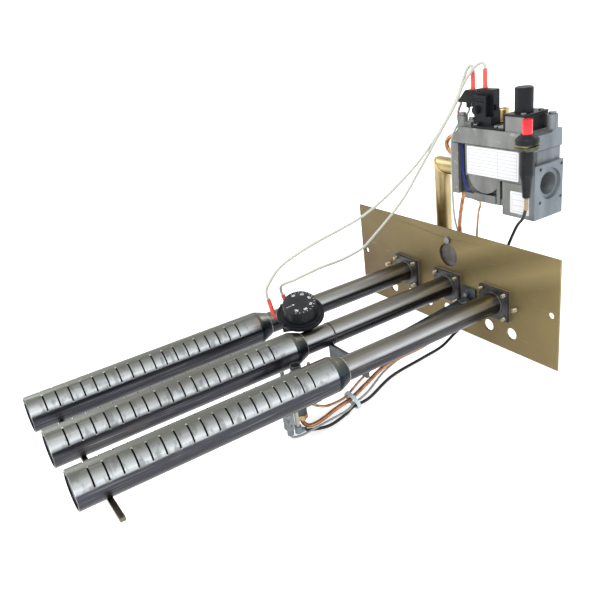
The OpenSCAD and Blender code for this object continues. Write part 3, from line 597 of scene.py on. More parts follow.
def moulded(name, colour, rough, grain_size=1900.0, depth=0.00012, lift=0.35, coat=0.0, shine=0.36):
    """Moulded plastic or rubber: one colour with a fine spark-eroded grain and faint paler dust."""
    f = Finish(name, Metallic=0.0, Coat_Weight=coat, Specular_IOR_Level=shine)
    grain = f.noise(f.place(), grain_size, 3.0)
    dust = level(f.noise(f.place(), 90.0, 5.0, 0.65), 0.52, 0.8)
    pale = tuple(min(1.0, c + 0.025 + c * lift) for c in colour)
    f.set("Base Color", f.mixed(dust * 0.4, colour, pale))
    f.set("Roughness", (rough + dust * 0.12 + grain * 0.08 - 0.04).clipped())
    f.bump(grain, 0.3, depth)
    return f.material


def braided(name, light, dark, turns=9.0, pitch=900.0):
    """Woven glass sleeve: two sets of threads cross along the wire, sines of round plus along and round minus
    along."""
    f = Finish(name, Roughness=0.75)
    uv = f.node("ShaderNodeUVMap", {"uv_map": "UVMap"})[0]
    u, v = f.axis(uv, 0), f.axis(uv, 1)
    one = (u * (2 * math.pi * turns) + v * (2 * math.pi * pitch)).sine()
    two = (u * (2 * math.pi * turns) - v * (2 * math.pi * pitch)).sine()
    weave = (one * two * 0.5 + 0.5).clipped()
    stain = level(f.noise(f.place(), 120.0, 4.0), 0.4, 0.75)
    colour = f.mixed(weave, dark, light)
    f.set("Base Color", f.mixed(stain * 0.35, colour, (0.46, 0.47, 0.40)))
    f.bump(weave, 0.5, 0.00025)
    return f.material


def label_paper(name, width, height, rows, columns, low):
    """A blank satin label on a face across Y, low being its lower left corner: a thin grey border and a few
    empty ruled lines."""
    f = Finish(name, Specular_IOR_Level=0.4)
    co = f.place()
    x = f.axis(co, 0) - float(low[0])
    z = f.axis(co, 2) - float(low[1])
    pen = 0.00022
    edge = 0.0022
    inside_x = x.over(edge) * (width - edge - x).over(0.0)
    inside_z = z.over(edge) * (height - edge - z).over(0.0)
    rule = None
    for k in range(rows + 1):
        line = (pen - (z - (edge + k * (height - 2 * edge) / rows)).size()).over(0.0) * inside_x
        rule = line if rule is None else rule.most(line)
    for place in columns:
        line = (pen - (x - (edge + place * (width - 2 * edge))).size()).over(0.0) * inside_z
        rule = rule.most(line)
    fibre = f.noise(co, 1500.0, 3.0)
    base = f.mixed(level(fibre, 0.3, 0.7), (0.56, 0.565, 0.58), (0.62, 0.625, 0.64))
    f.set("Base Color", f.mixed(rule * 0.6, base, (0.20, 0.21, 0.23)))
    f.set("Roughness", (0.36 + fibre * 0.12).clipped())
    f.bump(fibre, 0.08, 0.00005)
    return f.material


FINISHES = {}


def toned(stops, steel):
    """The tones of a tube scaled by the sidebar's steel colour over its default."""
    scale = np.asarray(steel) / np.array([0.62, 0.62, 0.61])
    return [(a, tuple(float(v) for v in np.clip(np.asarray(c) * scale, 0.0, 1.0))) for a, c in stops]


def make_finishes():
    """Every material, by a short name."""
    s = settings()
    steel = tuple(s.tube_colour)
    FINISHES.update(
        # Head and tube steel: painted light and shade by the angle round the tube
        head=drawn_steel("head_steel", toned(flank(*HEAD_PAINTED_LIGHT), steel), 0.22,
                         -(HEAD_NEAR + SLOT_START) / 1000),
        tube=drawn_steel("tube_steel", toned(flank(*TUBE_PAINTED_LIGHT), steel), 0.20),
        # Painted shade: a black sheet for the slot floors, standing for the sooty, shaded inside of the tube
        soot=moulded("slot_soot", (0.004, 0.004, 0.004), 0.9),
        necks=scaled_steel("neck_weld_metal", (0.40, 0.41, 0.42), (0.12, 0.11, 0.10), 0.30),
        shutter=scaled_steel("shutter_steel", (0.16, 0.15, 0.14), (0.075, 0.07, 0.065), 0.36),
        nut=dull_brass("olive_nut", (0.10, 0.105, 0.082), (0.042, 0.044, 0.034), 0.34),
        clear=moulded("clear_tip", (0.24, 0.18, 0.085), 0.16, lift=0.3, coat=0.5),
        scaled=scaled_steel("scaled_steel", (0.11, 0.125, 0.135), (0.035, 0.038, 0.042)),
        flange=scaled_steel("flange_steel", (0.10, 0.105, 0.11), (0.045, 0.045, 0.048), 0.40),
        weld=scaled_steel("weld_metal", (0.085, 0.078, 0.07), (0.04, 0.034, 0.03), 0.36),
        plate=passivated_plate("passivated_plate"),
        zinc=plated_steel("zinc_plate", (0.36, 0.29, 0.15), (0.15, 0.12, 0.065)),
        bright=plated_steel("bright_plate", (0.23, 0.245, 0.255), (0.10, 0.108, 0.115)),
        alloy=cast_alloy("cast_alloy", (0.26, 0.265, 0.255), (0.135, 0.138, 0.133)),
        brass=dull_brass("dull_brass", (0.62, 0.48, 0.22), (0.32, 0.23, 0.10)),
        riser=dull_brass("riser_brass", (0.42, 0.335, 0.175), (0.24, 0.185, 0.09), 0.26),
        copper=copper_pipe("copper_pipe", (0.58, 0.29, 0.155), (0.27, 0.125, 0.07)),
        capillary=copper_pipe("capillary_copper", (0.55, 0.33, 0.20), (0.26, 0.15, 0.09)),
        black=moulded("black_plastic", (0.007, 0.008, 0.010), 0.40, shine=0.17),
        dial=moulded("dial_plastic", (0.010, 0.011, 0.013), 0.36, shine=0.28),
        # Reducer steel: painted light and shade by the angle round the tube
        cone=drawn_steel("reducer_steel", toned(flank(*CONE_PAINTED_LIGHT), steel), 0.26, 0.0, 0.05),
        red=moulded("red_sleeve", (0.62, 0.075, 0.06), 0.42, lift=0.1),
        button=moulded("red_button", (0.68, 0.010, 0.018), 0.26, lift=0.05, coat=0.3),
        boot=moulded("grey_boot", (0.16, 0.21, 0.24), 0.50),
        cable=moulded("black_cable", (0.010, 0.010, 0.011), 0.36, coat=0.1),
        tie=moulded("nylon_tie", (0.50, 0.56, 0.60), 0.35, lift=0.1),
        blue=moulded("blue_wire", (0.012, 0.035, 0.20), 0.35, lift=0.1),
        maroon=moulded("maroon_wire", (0.30, 0.02, 0.06), 0.40, lift=0.1),
        white=moulded("white_wire", (0.66, 0.66, 0.64), 0.45, lift=0.05),
        silver=moulded("silver_lead", (0.30, 0.32, 0.32), 0.34, lift=0.2),
        ceramic=moulded("electrode_ceramic", (0.40, 0.375, 0.33), 0.45, lift=0.05),
        gasket=moulded("fibre_gasket", (0.14, 0.12, 0.10), 0.85, 900.0, 0.0003),
        braid=braided("glass_braid", (0.60, 0.62, 0.55), (0.22, 0.235, 0.19)),
        mark=moulded("dial_mark", (0.62, 0.65, 0.66), 0.50, lift=0.02),
        bar=scaled_steel("bar_steel", (0.17, 0.145, 0.125), (0.07, 0.06, 0.052), 0.40),
    )


NODE_FINISH = {
    "plate": ["mounting_plate", "manifold_brackets", "gas_manifold", "igniter_bracket"],
    "tube": ["mixing_tube_left", "mixing_tube_middle", "mixing_tube_right"],
    "bar": ["head_support_bar"],
    "scaled": ["head_end_caps", "cross_strap", "pilot_support", "pilot_bracket", "pilot_burner"],
    "flange": ["tube_flanges"],
    "gasket": ["flange_gaskets"],
    "zinc": ["flange_bolts", "bracket_screws"],
    "shutter": ["inspection_shutter"],
    "bright": ["shutter_pivot", "pilot_support_bolts", "valve_screws", "valve_spindle",
               "flame_sensor"],
    "alloy": ["valve_body", "valve_lid"],
    "brass": ["pilot_gas_nut", "gas_injectors"],
    "copper": ["thermocouple"],
    "black": ["valve_cover", "valve_coil", "terminal_block", "valve_knob", "thermostat_body",
              "thermostat_bezel"],
    "dial": ["thermostat_dial"],
    "red": ["terminal_sleeves", "thermostat_terminals"],
    "button": ["igniter_button"],
    "ceramic": ["ignition_electrode"],
    "boot": ["electrode_boot"],
    "tie": ["cable_tie"],
    "weld": ["weld_beads"],
}

ROUNDED = {
    "valve_body": 0.7, "valve_lid": 0.6, "valve_cover": 0.4, "valve_coil": 0.5, "terminal_block": 0.4,
    "thermostat_body": 0.6, "thermostat_bezel": 0.4, "thermostat_dial": 0.5, "valve_knob": 0.4,
    "igniter_button": 0.5, "tube_flanges": 0.4, "mounting_plate": 0.25, "head_support_bar": 0.3,
    "cross_strap": 0.3, "pilot_support": 0.3, "pilot_bracket": 0.3, "igniter_bracket": 0.25,
    "electrode_boot": 0.6, "manifold_brackets": 0.3, "pilot_burner": 0.2, "flame_sensor": 0.2,
    "valve_screws": 0.3,
}


def round_edges(ob, width):
    """Joins the loose triangles and rounds the sharp edges of a carried-over solid with live modifiers."""
    weld = ob.modifiers.new("join", "WELD")
    weld.merge_threshold = 0.00001
    bevel = ob.modifiers.new("round", "BEVEL")
    bevel.width = width / 1000.0
    bevel.segments = 2
    bevel.limit_method = "ANGLE"
    bevel.angle_limit = math.radians(38)
    bevel.harden_normals = False
    bevel.use_clamp_overlap = True


class BURNER_PG_finish(bpy.types.PropertyGroup):
    """Colours and sizes that a user may change."""

    tube_colour: FloatVectorProperty(name="Tube steel", description="Colour of the bright drawn tubes",
                                     subtype="COLOR", size=3, min=0.0, max=1.0, default=(0.62, 0.62, 0.61))
    floor_colour: FloatVectorProperty(name="Floor", description="Colour of the studio floor",
                                      subtype="COLOR", size=3, min=0.0, max=1.0, default=(0.90, 0.90, 0.90))
    lens: FloatProperty(name="Lens", description="Focal length of the camera", default=42.02, min=10.0,
                        max=200.0)
    lead_sides: IntProperty(name="Lead sides", description="Faces round each lead", default=16, min=8, max=48)
    weld_ripples: IntProperty(name="Weld ripples", description="Ripples round each weld bead", default=22,
                              min=6, max=60)
    wire_diameter: FloatProperty(name="Braided wire", description="Outer diameter of the braided wires",
                                 subtype="DISTANCE", unit="LENGTH", default=0.0028, min=0.0015, max=0.003)


class BURNER_OT_stage(bpy.types.Operator):
    """Sets the camera, the floor and the soft lights"""

    bl_idname = "burner.stage"
    bl_label = "Stage"

    def execute(self, context):
        s = settings()
        cam = bpy.data.cameras.new("camera")
        cam.lens = s.lens
        cam.sensor_width = 36.0
        cam.clip_end = 20.0
        eye = bpy.data.objects.new("camera", cam)
        eye.matrix_world = Matrix((
            (0.53820, -0.27567, 0.79646, 0.50228),
            (0.83436, 0.30780, -0.45727, -0.47559),
            (-0.11910, 0.91064, 0.39567, 0.29366),
            (0.0, 0.0, 0.0, 1.0),
        ))
        context.scene.collection.objects.link(eye)
        context.scene.camera = eye
        low = CAD_BOX[0][2] - 0.0005
        floor = bpy.data.meshes.new("floor")
        floor.from_pydata([(-60, -60, low), (60, -60, low), (60, 60, low), (-60, 60, low)], [],
                          [(0, 1, 2, 3)])
        f = Finish("studio_floor", Roughness=0.6, Specular_IOR_Level=0.1, Emission_Strength=0.5)
        f.set("Base Color", tuple(s.floor_colour))
        floor.materials.append(f.material)
        ground = bpy.data.objects.new("floor", floor)
        context.scene.collection.objects.link(ground)
        world = bpy.data.worlds.new("studio")
        world.use_nodes = True
        back = world.node_tree.nodes["Background"]
        back.inputs[0].default_value = (1.0, 1.0, 1.0, 1.0)
        back.inputs[1].default_value = 1.15
        context.scene.world = world
        context.scene.view_settings.view_transform = "Standard"
        for name, place, aim, size, power, colour in (
            ("key", (0.9, -1.3, 1.9), (0.0, -0.15, 0.0), 1.1, 34.0, (1.0, 0.99, 0.97)),
            ("fill", (-1.6, -0.8, 1.2), (0.0, -0.2, 0.0), 1.4, 14.0, (0.93, 0.97, 1.0)),
            ("rim", (-0.2, 1.5, 1.3), (0.0, 0.0, 0.05), 0.9, 12.0, (1.0, 1.0, 1.0)),
        ):
            light = bpy.data.lights.new(name, "AREA")
            light.shape = "RECTANGLE"
            light.size = size
            light.size_y = size * 0.6
            light.energy = power
            light.color = colour
            lamp = bpy.data.objects.new(name, light)
            d = unit(np.asarray(place, float) - np.asarray(aim, float))
            right = unit(np.cross((0, 0, 1), d))
            up = np.cross(d, right)
            m = np.eye(4)
            m[:3, 0], m[:3, 1], m[:3, 2], m[:3, 3] = right, up, d, place
            lamp.matrix_world = Matrix(m.tolist())
            context.scene.collection.objects.link(lamp)
        return {"FINISHED"}


class BURNER_OT_leads(bpy.types.Operator):
    """Makes the pipes, leads, cable and braided wires as smooth round tubes on their real routes"""

    bl_idname = "burner.leads"
    bl_label = "Leads and wires"

    def execute(self, context):
        s = settings()
        wire = s.wire_diameter * 1000
        for name, route, d, finish, slot, stiff in (
            ("pilot_gas_pipe", GAS, 4.0, "copper", "copper", "stiff"),
            ("thermocouple_lead", THERMO, 2.4, "capillary", "copper", "stiff"),
            ("sensor_lead", SENSOR, 2.16, "silver", "tube_steel", "medium"),
            ("ignition_cable", CABLE, 3.0, "cable", "cable", "medium"),
            ("thermostat_wire_a", WIRE_A, wire, "braid", "braid", "medium"),
            ("thermostat_wire_b", WIRE_B, wire, "braid", "braid", "medium"),
        ):
            path = smooth(route, 10)
            ob = piece(name + "_tube", [sweep(path, d / 2, s.lead_sides)], FINISHES[finish], "burner",
                       (name,))
            d / 1000
        piece("pilot_feed_pipe", [sweep(smooth(LOOP, 10), 2.3, 20, (0, 1, 0))], FINISHES["copper"], "burner",
              ("pilot_feed_loop",))
        coil = smooth(COIL_WIRE, 8)
        blue = smooth(BLUE_WIRE, 8)
        pair = [sweep(blue + shift, 0.55, 14, (1, 0, 0)) for shift in ((0, 0, 0), (1.5, 0.4, -1.0))]
        piece("blue_wire", pair, FINISHES["blue"], "burner", ("valve_wires",))
        piece("maroon_wire", [sweep(coil, 0.7, 12)], FINISHES["maroon"], "burner", ())
        piece("white_wire", [sweep(coil + (-0.6, -1.5, 0), 0.7, 12)], FINISHES["white"], "burner", ())
        return {"FINISHED"}


class BURNER_OT_welds(bpy.types.Operator):
    """Makes the weld beads with their ripples"""

    bl_idname = "burner.welds"
    bl_label = "Weld beads"

    def execute(self, context):
        n = settings().weld_ripples

        def bead(x, y, s, radius):
            """A quarter-round bead about the tube, whose section follows a slanted sine of the angle."""
            a = np.linspace(0, 2 * np.pi, 144, endpoint=False)
            c = np.linspace(0, math.pi / 2, 7)
            swell = 1 - 0.09 * (1 + np.sin(n * a[:, None] + 1.4 * c[None, :] + 0.6 * np.sin(3 * a[:, None])))
            r = MIX_R - 0.05 + radius * swell * np.cos(c)[None, :]
            y0 = y + s * radius * swell * np.sin(c)[None, :]
            out = np.stack([x + r * np.cos(a)[:, None], y0, r * np.sin(a)[:, None]], 2)
            foot = np.stack([x + (MIX_R - 0.05) * np.cos(a), np.full_like(a, y),
                             (MIX_R - 0.05) * np.sin(a)], 1)
            return np.concatenate([out, foot[:, None, :]], 1)

        for k, x in enumerate(TUBES):
            front = bead(x, HEAD_END + CONE_LENGTH, 1, 1.6)
            back = bead(x, FLANGE_FRONT, -1, 1.3)
            names = ("weld_beads",) if k == 0 else ()
            piece(f"neck_weld_{k}", [front], FINISHES["necks"], "burner", names, True)
            piece(f"flange_weld_{k}", [back], FINISHES["weld"], "burner", (), True, True)
        a = np.linspace(0, 2 * np.pi, 144, endpoint=False)
        c = np.linspace(0, math.pi, 9)
        swell = 1 - 0.14 * (1 + np.sin(19 * a + 0.8 * np.sin(2 * a)))[:, None]
        r = MIX_R - 0.05 + 0.55 * swell * np.sin(c)[None, :]
        y = SEAM_Y - 1.0 * np.cos(c)[None, :] * swell
        seam = np.stack([r * np.cos(a)[:, None], y, r * np.sin(a)[:, None]], 2)
        piece("tube_seam", [seam], FINISHES["weld"], "burner", (), True, True)
        return {"FINISHED"}


class BURNER_OT_heads(bpy.types.Operator):
    """Makes the slotted burner heads and the reducers at their necks"""

    bl_idname = "burner.heads"
    bl_label = "Heads and reducers"

    def execute(self, context):
        fine = np.arange(9.0, 78.0, 2.0)
        degrees = np.concatenate([-fine[::-1], [-5.0, 0.0, 5.0], fine, np.arange(82.0, 280.0, 6.0)])
        a = np.radians(degrees)
        reach = HEAD_R - SAW_DEPTH + SAW_R
        off = np.abs(np.abs(np.where(degrees > 180, degrees - 360, degrees)) - SLOT_TURN)
        tilt = np.radians(np.minimum(off, 45.0))
        saw = reach * np.cos(tilt) - np.sqrt(SAW_R ** 2 - (reach * np.sin(tilt)) ** 2)
        depth = np.where(saw < HEAD_R - HEAD_WALL / 2, SLOT_FLOOR, np.minimum(saw, HEAD_R))
        full = np.full_like(a, HEAD_R)

        def head(x):
            """Rings round a tube: the head's radius, sunk at each slot to a saw's circle, D cos t less the
            root of R R - (D sin t)(D sin t), with R the saw's radius, D its centre's distance and t the
            angle from the slot's middle."""
            rows = [(HEAD_NEAR + 2.2, full - HEAD_WALL), (HEAD_NEAR, full - HEAD_WALL),
                    (HEAD_NEAR, full - RIM), (HEAD_NEAR + RIM, full)]
            for k in range(SLOTS):
                y = HEAD_NEAR + SLOT_START + 1000 * SLOT_PITCH * k
                near, far = y - SLOT_HALF, y + SLOT_HALF
                rows += [(near, full), (near, depth), (far, depth), (far, full)]
            rows.append((HEAD_END, full))
            y = np.array([r[0] for r in rows])[:, None] + 0 * a[None, :]
            r = np.stack([r[1] for r in rows])
            return np.stack([x + r * np.sin(a), y, r * np.cos(a)], 2)

        for name, x in zip(("left", "middle", "right"), TUBES):
            ob = piece(f"slotted_head_{name}", [head(x)], FINISHES["head"], "burner",
                       (f"burner_head_{name}",), sharp=35)
            # The second finish paints shade on the slot floors and the deep slot walls
            ob.data.materials.append(FINISHES["soot"])
            n = len(ob.data.polygons)
            mid = np.zeros(n * 3)
            ob.data.polygons.foreach_get("center", mid)
            mid = mid.reshape(-1, 3) * 1000 - AXES
            deep_shade = np.hypot(mid[:, 0] - x, mid[:, 2]) < HEAD_R - 1.2
            inside = deep_shade & (mid[:, 1] > HEAD_NEAR + 5) & (mid[:, 1] < HEAD_END - 5)
            ob.data.polygons.foreach_set("material_index", inside.astype(np.int32))
            ob.data.update()
        prof = [(15.9, 0.0), (HEAD_R, 0.3), (15.95, 2.6), (15.7, 2.8), (15.7, 3.1), (15.9, 3.3), (15.6, 4.6),
                (15.0, 6.4), (14.35, 8.2), (13.75, 9.8), (13.2, 11.2), (12.75, 12.3), (12.5, CONE_LENGTH)]
        grids = [lathe(prof, (x, HEAD_END, 0), (0, 1, 0), (1, 0, 0), 72) for x in TUBES]
        piece("reducer_set", grids, FINISHES["cone"], "burner", ("tube_reducers",), sharp=30)
        return {"FINISHED"}


def prism(outline, start, end, axis):
    """A straight block: an outline in the two axes that follow the given one, run counter-clockwise, at
    both ends of a stretch of that axis."""
    p = np.asarray(outline, float)
    q = np.roll(p, -1, 0)
    if np.sum(p[:, 0] * q[:, 1] - q[:, 0] * p[:, 1]) < 0:
        p = p[::-1]
    rows = np.empty((2, len(p), 3))
    rows[:, :, axis] = np.array([[start], [end]])
    rows[:, :, (axis + 1) % 3] = p[:, 0]
    rows[:, :, (axis + 2) % 3] = p[:, 1]
    return rows


def block(low, high):
    """A box between two corners."""
    x0, y0, z0 = low
    x1, y1, z1 = high
    return prism([(x0, y0), (x1, y0), (x1, y1), (x0, y1)], z0, z1, 2)


class BURNER_OT_riser(bpy.types.Operator):
    """Makes the brass-coloured riser with its mitred and welded elbow"""

    bl_idname = "burner.riser"
    bl_label = "Riser and elbow"

    def execute(self, context):
        x0, y0, pz, r = RISER_X, RISER_Y, ELBOW_Z, ELBOW_R
        a = np.linspace(0, 2 * np.pi, 64, endpoint=False)
        c, sn = np.cos(a), np.sin(a)
        ease = 0.8 + 4.6 * (1 - c) / 2
        corner_x, corner_z = x0 + r * c, pz - r * c
        rows = [np.stack([x0 + RISER_R * c, y0 + RISER_R * sn, np.full_like(a, z)], 1)
                for z in (8.0, pz - 16.0)]
        rows.append(np.stack([corner_x, y0 + r * sn, np.full_like(a, pz - 15.0)], 1))
        for t in np.linspace(0, math.pi / 2, 9):
            x = corner_x + ease * (1 - math.cos(t))
            z = corner_z - ease * (1 - math.sin(t))
            rows.append(np.stack([x, y0 + r * sn, z], 1))
        rows.append(np.stack([np.full_like(a, -11.0), y0 + r * sn, corner_z], 1))
        pipe = np.stack(rows)
        piece("riser_elbow", [pipe], FINISHES["riser"], "burner", ("riser_pipe", "pipe_elbow"),
              sharp=50)
        slack = ease * (1 - math.sqrt(0.5))
        seam = np.stack([corner_x + slack + 0.1 * c, y0 + (r + 0.1) * sn, corner_z - slack - 0.1 * c], 1)
        u = unit(np.stack([c * math.sqrt(0.5), sn, -c * math.sqrt(0.5)], 1))
        v = np.broadcast_to(np.array([1.0, 0.0, 1.0]) / math.sqrt(2), u.shape)
        b = np.linspace(0, 2 * np.pi, 12, endpoint=False)
        swell = 1.0 + 0.10 * np.sin(17 * a + 0.7 * np.sin(3 * a))
        ring = seam[:, None, :] + swell[:, None, None] * (
            np.cos(b)[None, :, None] * u[:, None, :] + np.sin(b)[None, :, None] * v[:, None, :])
        piece("elbow_seam", [ring], FINISHES["brass"], "burner", (), True)
        return {"FINISHED"}


class BURNER_OT_igniter(bpy.types.Operator):
    """Makes the igniter's body, its nut, its clear tip and its bracket"""

    bl_idname = "burner.igniter"
    bl_label = "Igniter"

    def execute(self, context):
        middle = (IGNITER_X, IGNITER_Y, 0)
        body = [(0.02, 109.5), (3.2, 109.5), (3.5, 109.9), (4.7, 125.6), (5.1, 126.6), (6.1, 130.6),
                (6.3, 131.4), (6.3, 158.0), (10.0, 158.0), (10.2, 158.3), (10.2, 162.0), (9.9, 162.6),
                (7.6, 164.8), (6.2, 166.0), (5.9, 166.4), (5.3, 166.6), (4.75, 166.3), (4.7, 149.5),
                (0.02, 149.5)]
        piece("igniter_shell", [lathe(body, middle, sides=64)], FINISHES["black"], "burner",
              ("igniter_body",), sharp=30)
        tip = [(1.3, 97.6), (1.65, 97.6), (1.9, 98.0), (1.9, 104.0), (1.6, 104.4), (1.9, 104.8), (2.1, 109.7),
               (1.3, 109.7)]
        piece("igniter_tip", [lathe(tip, middle, sides=32)], FINISHES["clear"], "burner", (),
              sharp=30)
        low, high, wide = 152.7, 156.5, 21.5
        nut = [(6.2, low), (wide, low), (wide, 153.0), (wide, 154.6), (wide, 156.2), (wide, high),
               (6.2, high)]
        piece("igniter_hex", [lathe(nut, middle, sides=72, shape=hexagon(21.0, 0.3, (low, high)))],
              FINISHES["nut"], "burner", ("igniter_nut",), True, sharp=30)
        plate = [block((86.5, -1.5, 156.5), (100.5, 19.5, 158.0)),
                 block((84.5, 18.0, 151.1), (97.0, 19.5, 162.4))]
        ob = piece("igniter_strap", plate, FINISHES["plate"], "burner", ("igniter_bracket",),
                   sharp=30)
        round_edges(ob, 0.3)
        return {"FINISHED"}


class BURNER_OT_valve(bpy.types.Operator):
    """Makes the valve's turned cap, its black frame and the coil's rim"""

    bl_idname = "burner.valve"
    bl_label = "Valve details"

    def execute(self, context):
        cap = [(0.02, 165.0), (6.9, 165.0), (6.9, 166.1), (6.55, 166.3), (6.6, 168.0), (6.6, 176.8),
               (6.3, 177.3), (5.4, 177.5), (4.6, 177.3), (4.3, 176.6), (0.02, 176.6)]
        piece("cap_turned", [lathe(cap, CAP, sides=56)], FINISHES["brass"], "burner",
              ("regulator_cap",), sharp=30)
        ring = [(0.02, 165.0), (7.4, 165.0), (7.4, 166.0), (0.02, 166.0)]
        knob = [(0.02, 173.1), (8.3, 173.1), (8.3, 199.8), (8.15, 200.7), (7.6, 201.2), (6.9, 201.25),
                (6.6, 200.9), (0.02, 200.8)]
        piece("knob_turned", [lathe(knob, KNOB, sides=72)], FINISHES["black"], "knob", ("valve_knob",),
              sharp=28)
        frame_parts = [
            block((79.0, 21.0, 163.6), (80.2, 52.0, 177.0)),
            block((55.6, 20.2, 163.0), (57.1, 50.0, 178.6)),
            prism([(20.2, 163.0), (56.0, 163.0), (56.0, 165.0), (20.2, 165.0)], 47.0, 57.0, 0),
            lathe(ring, CAP, sides=56),
            block((13.0, 26.6, 190.4), (28.6, 33.2, 192.4)),
            block((26.8, 26.6, 173.0), (28.6, 28.4, 190.6)),
        ]
        ob = piece("valve_frame", frame_parts, FINISHES["black"], "burner", (), sharp=30)
        round_edges(ob, 0.35)
        return {"FINISHED"}


def threaded(centre, axis, r, start, end, pitch):
    """A screw thread: the radius follows a triangle wave of height over pitch minus angle over a turn, and
    narrows at the tip."""
    steps = int(abs(end - start) / pitch * 8)
    h = np.linspace(start, end, steps + 1)
    prof = [(0.02, start)] + [(r, v) for v in h] + [(0.02, end)]

    def rule(a, rr, hh):
        phase = np.mod(hh / pitch - a / (2 * np.pi), 1.0)
        wave = np.abs(phase * 2 - 1)
        tip = np.clip((np.abs(hh - end)) / 0.6, 0.0, 1.0)
        root = np.where(rr > 0.1, rr - 0.13 * r * wave, rr)
        return np.where(rr > 0.1, root * (0.72 + 0.28 * tip), rr)

    return lathe(prof, centre, axis, (1, 0, 0), 20, rule)


def bolt_head(centre, axis, flats, start, end):
    """A hexagon head with both edges chamfered: rows of the same hexagon cut by a cone near the ends."""
    h = [start, start + 0.3 * (end - start) * 0.3, (start + end) / 2, end - 0.3 * (end - start) * 0.3, end]
    prof = [(0.02, start)] + [(flats, v) for v in h] + [(0.02, end)]
    return lathe(prof, centre, axis, (1, 0, 0), 48, hexagon(flats, 0.3, (start, end)))


class BURNER_OT_fasteners(bpy.types.Operator):
    """Makes the threaded bolts of the tube flanges and the bracket screws"""

    bl_idname = "burner.fasteners"
    bl_label = "Fasteners"

    def execute(self, context):
        grids = []
        for x in TUBES:
            for sx in (-1, 1):
                for sz in (-1, 1):
                    c = (x + sx * FLANGE_BOLT[0], 0, sz * FLANGE_BOLT[1])
                    grids.append(threaded(c, (0, 1, 0), 2.0, 2.0, FLANGE_FRONT - 4.0, 0.7))
                    grids.append(bolt_head(c, (0, 1, 0), 7.0, PLATE_T, PLATE_T + 2.8))
        piece("flange_bolt_set", grids, FINISHES["zinc"], "burner", ("flange_bolts",), sharp=35)
        grids = []
        for s in (-1, 1):
            c = (BRACKET_SCREW[0] + s * BRACKET_SCREW[1], 0, BRACKET_SCREW[2])
            grids.append(threaded(c, (0, 1, 0), 2.5, 5.0, -5.0, 0.8))
            grids.append(bolt_head(c, (0, 1, 0), 6.9, 5.0, 8.2))
        piece("bracket_screw_set", grids, FINISHES["zinc"], "burner", ("bracket_screws",),
              sharp=35)
        return {"FINISHED"}


class BURNER_OT_sleeves(bpy.types.Operator):
    """Makes the red insulating sleeves, flared over their blades"""

    bl_idname = "burner.sleeves"
    bl_label = "Terminal sleeves"

    def execute(self, context):
        def sleeve(a, b, bow=(0, 0, 0), flare=0.55):
            """A soft sleeve: a straight line with a small sideways bow, wide and flat at its blade and
            narrow at its rolled end."""
            t = np.linspace(0, 1, 25)[:, None]
            path = np.asarray(a) * (1 - t) + np.asarray(b) * t + np.sin(np.pi * t) * np.asarray(bow)
            r = 2.1 + flare * np.exp(-(t[:, 0] / 0.16) ** 2) - 0.35 * np.exp(-((t[:, 0] - 1) / 0.03) ** 2)
            grid = sweep(path, r, 24, (0, 1, 0))
            mid = path[:, None, :]
            flat = 1 - 0.16 * np.exp(-(t / 0.3) ** 2)[:, :, None]
            off = grid - mid
            off[..., 1:2] *= flat
            return mid + off

        piece("coil_sleeves", [sleeve((2, 38, 195.5), (2, 38, 213.5), (0.35, 0, 0)),
                               sleeve((18, 38, 197.5), (18, 38, 215.5), (-0.2, 0, 0))],
              FINISHES["red"], "burner", ("terminal_sleeves",))
        return {"FINISHED"}


def digits(text, size):
    """Plain numerals from the built-in face as flat faces: their points and faces, centred on the origin."""
    curve = bpy.data.curves.new("numeral", "FONT")
    curve.body = text
    curve.size = size
    curve.align_x = "CENTER"
    curve.align_y = "CENTER"
    curve.offset = size * 0.012
    holder = bpy.data.objects.new("numeral", curve)
    bpy.context.scene.collection.objects.link(holder)
    bpy.context.view_layer.update()
    flat = bpy.data.meshes.new_from_object(holder)
    points = np.array([v.co[:] for v in flat.vertices], float)
    faces = [list(p.vertices) for p in flat.polygons]
    bpy.data.objects.remove(holder)
    bpy.data.curves.remove(curve)
    bpy.data.meshes.remove(flat)
    return points, faces


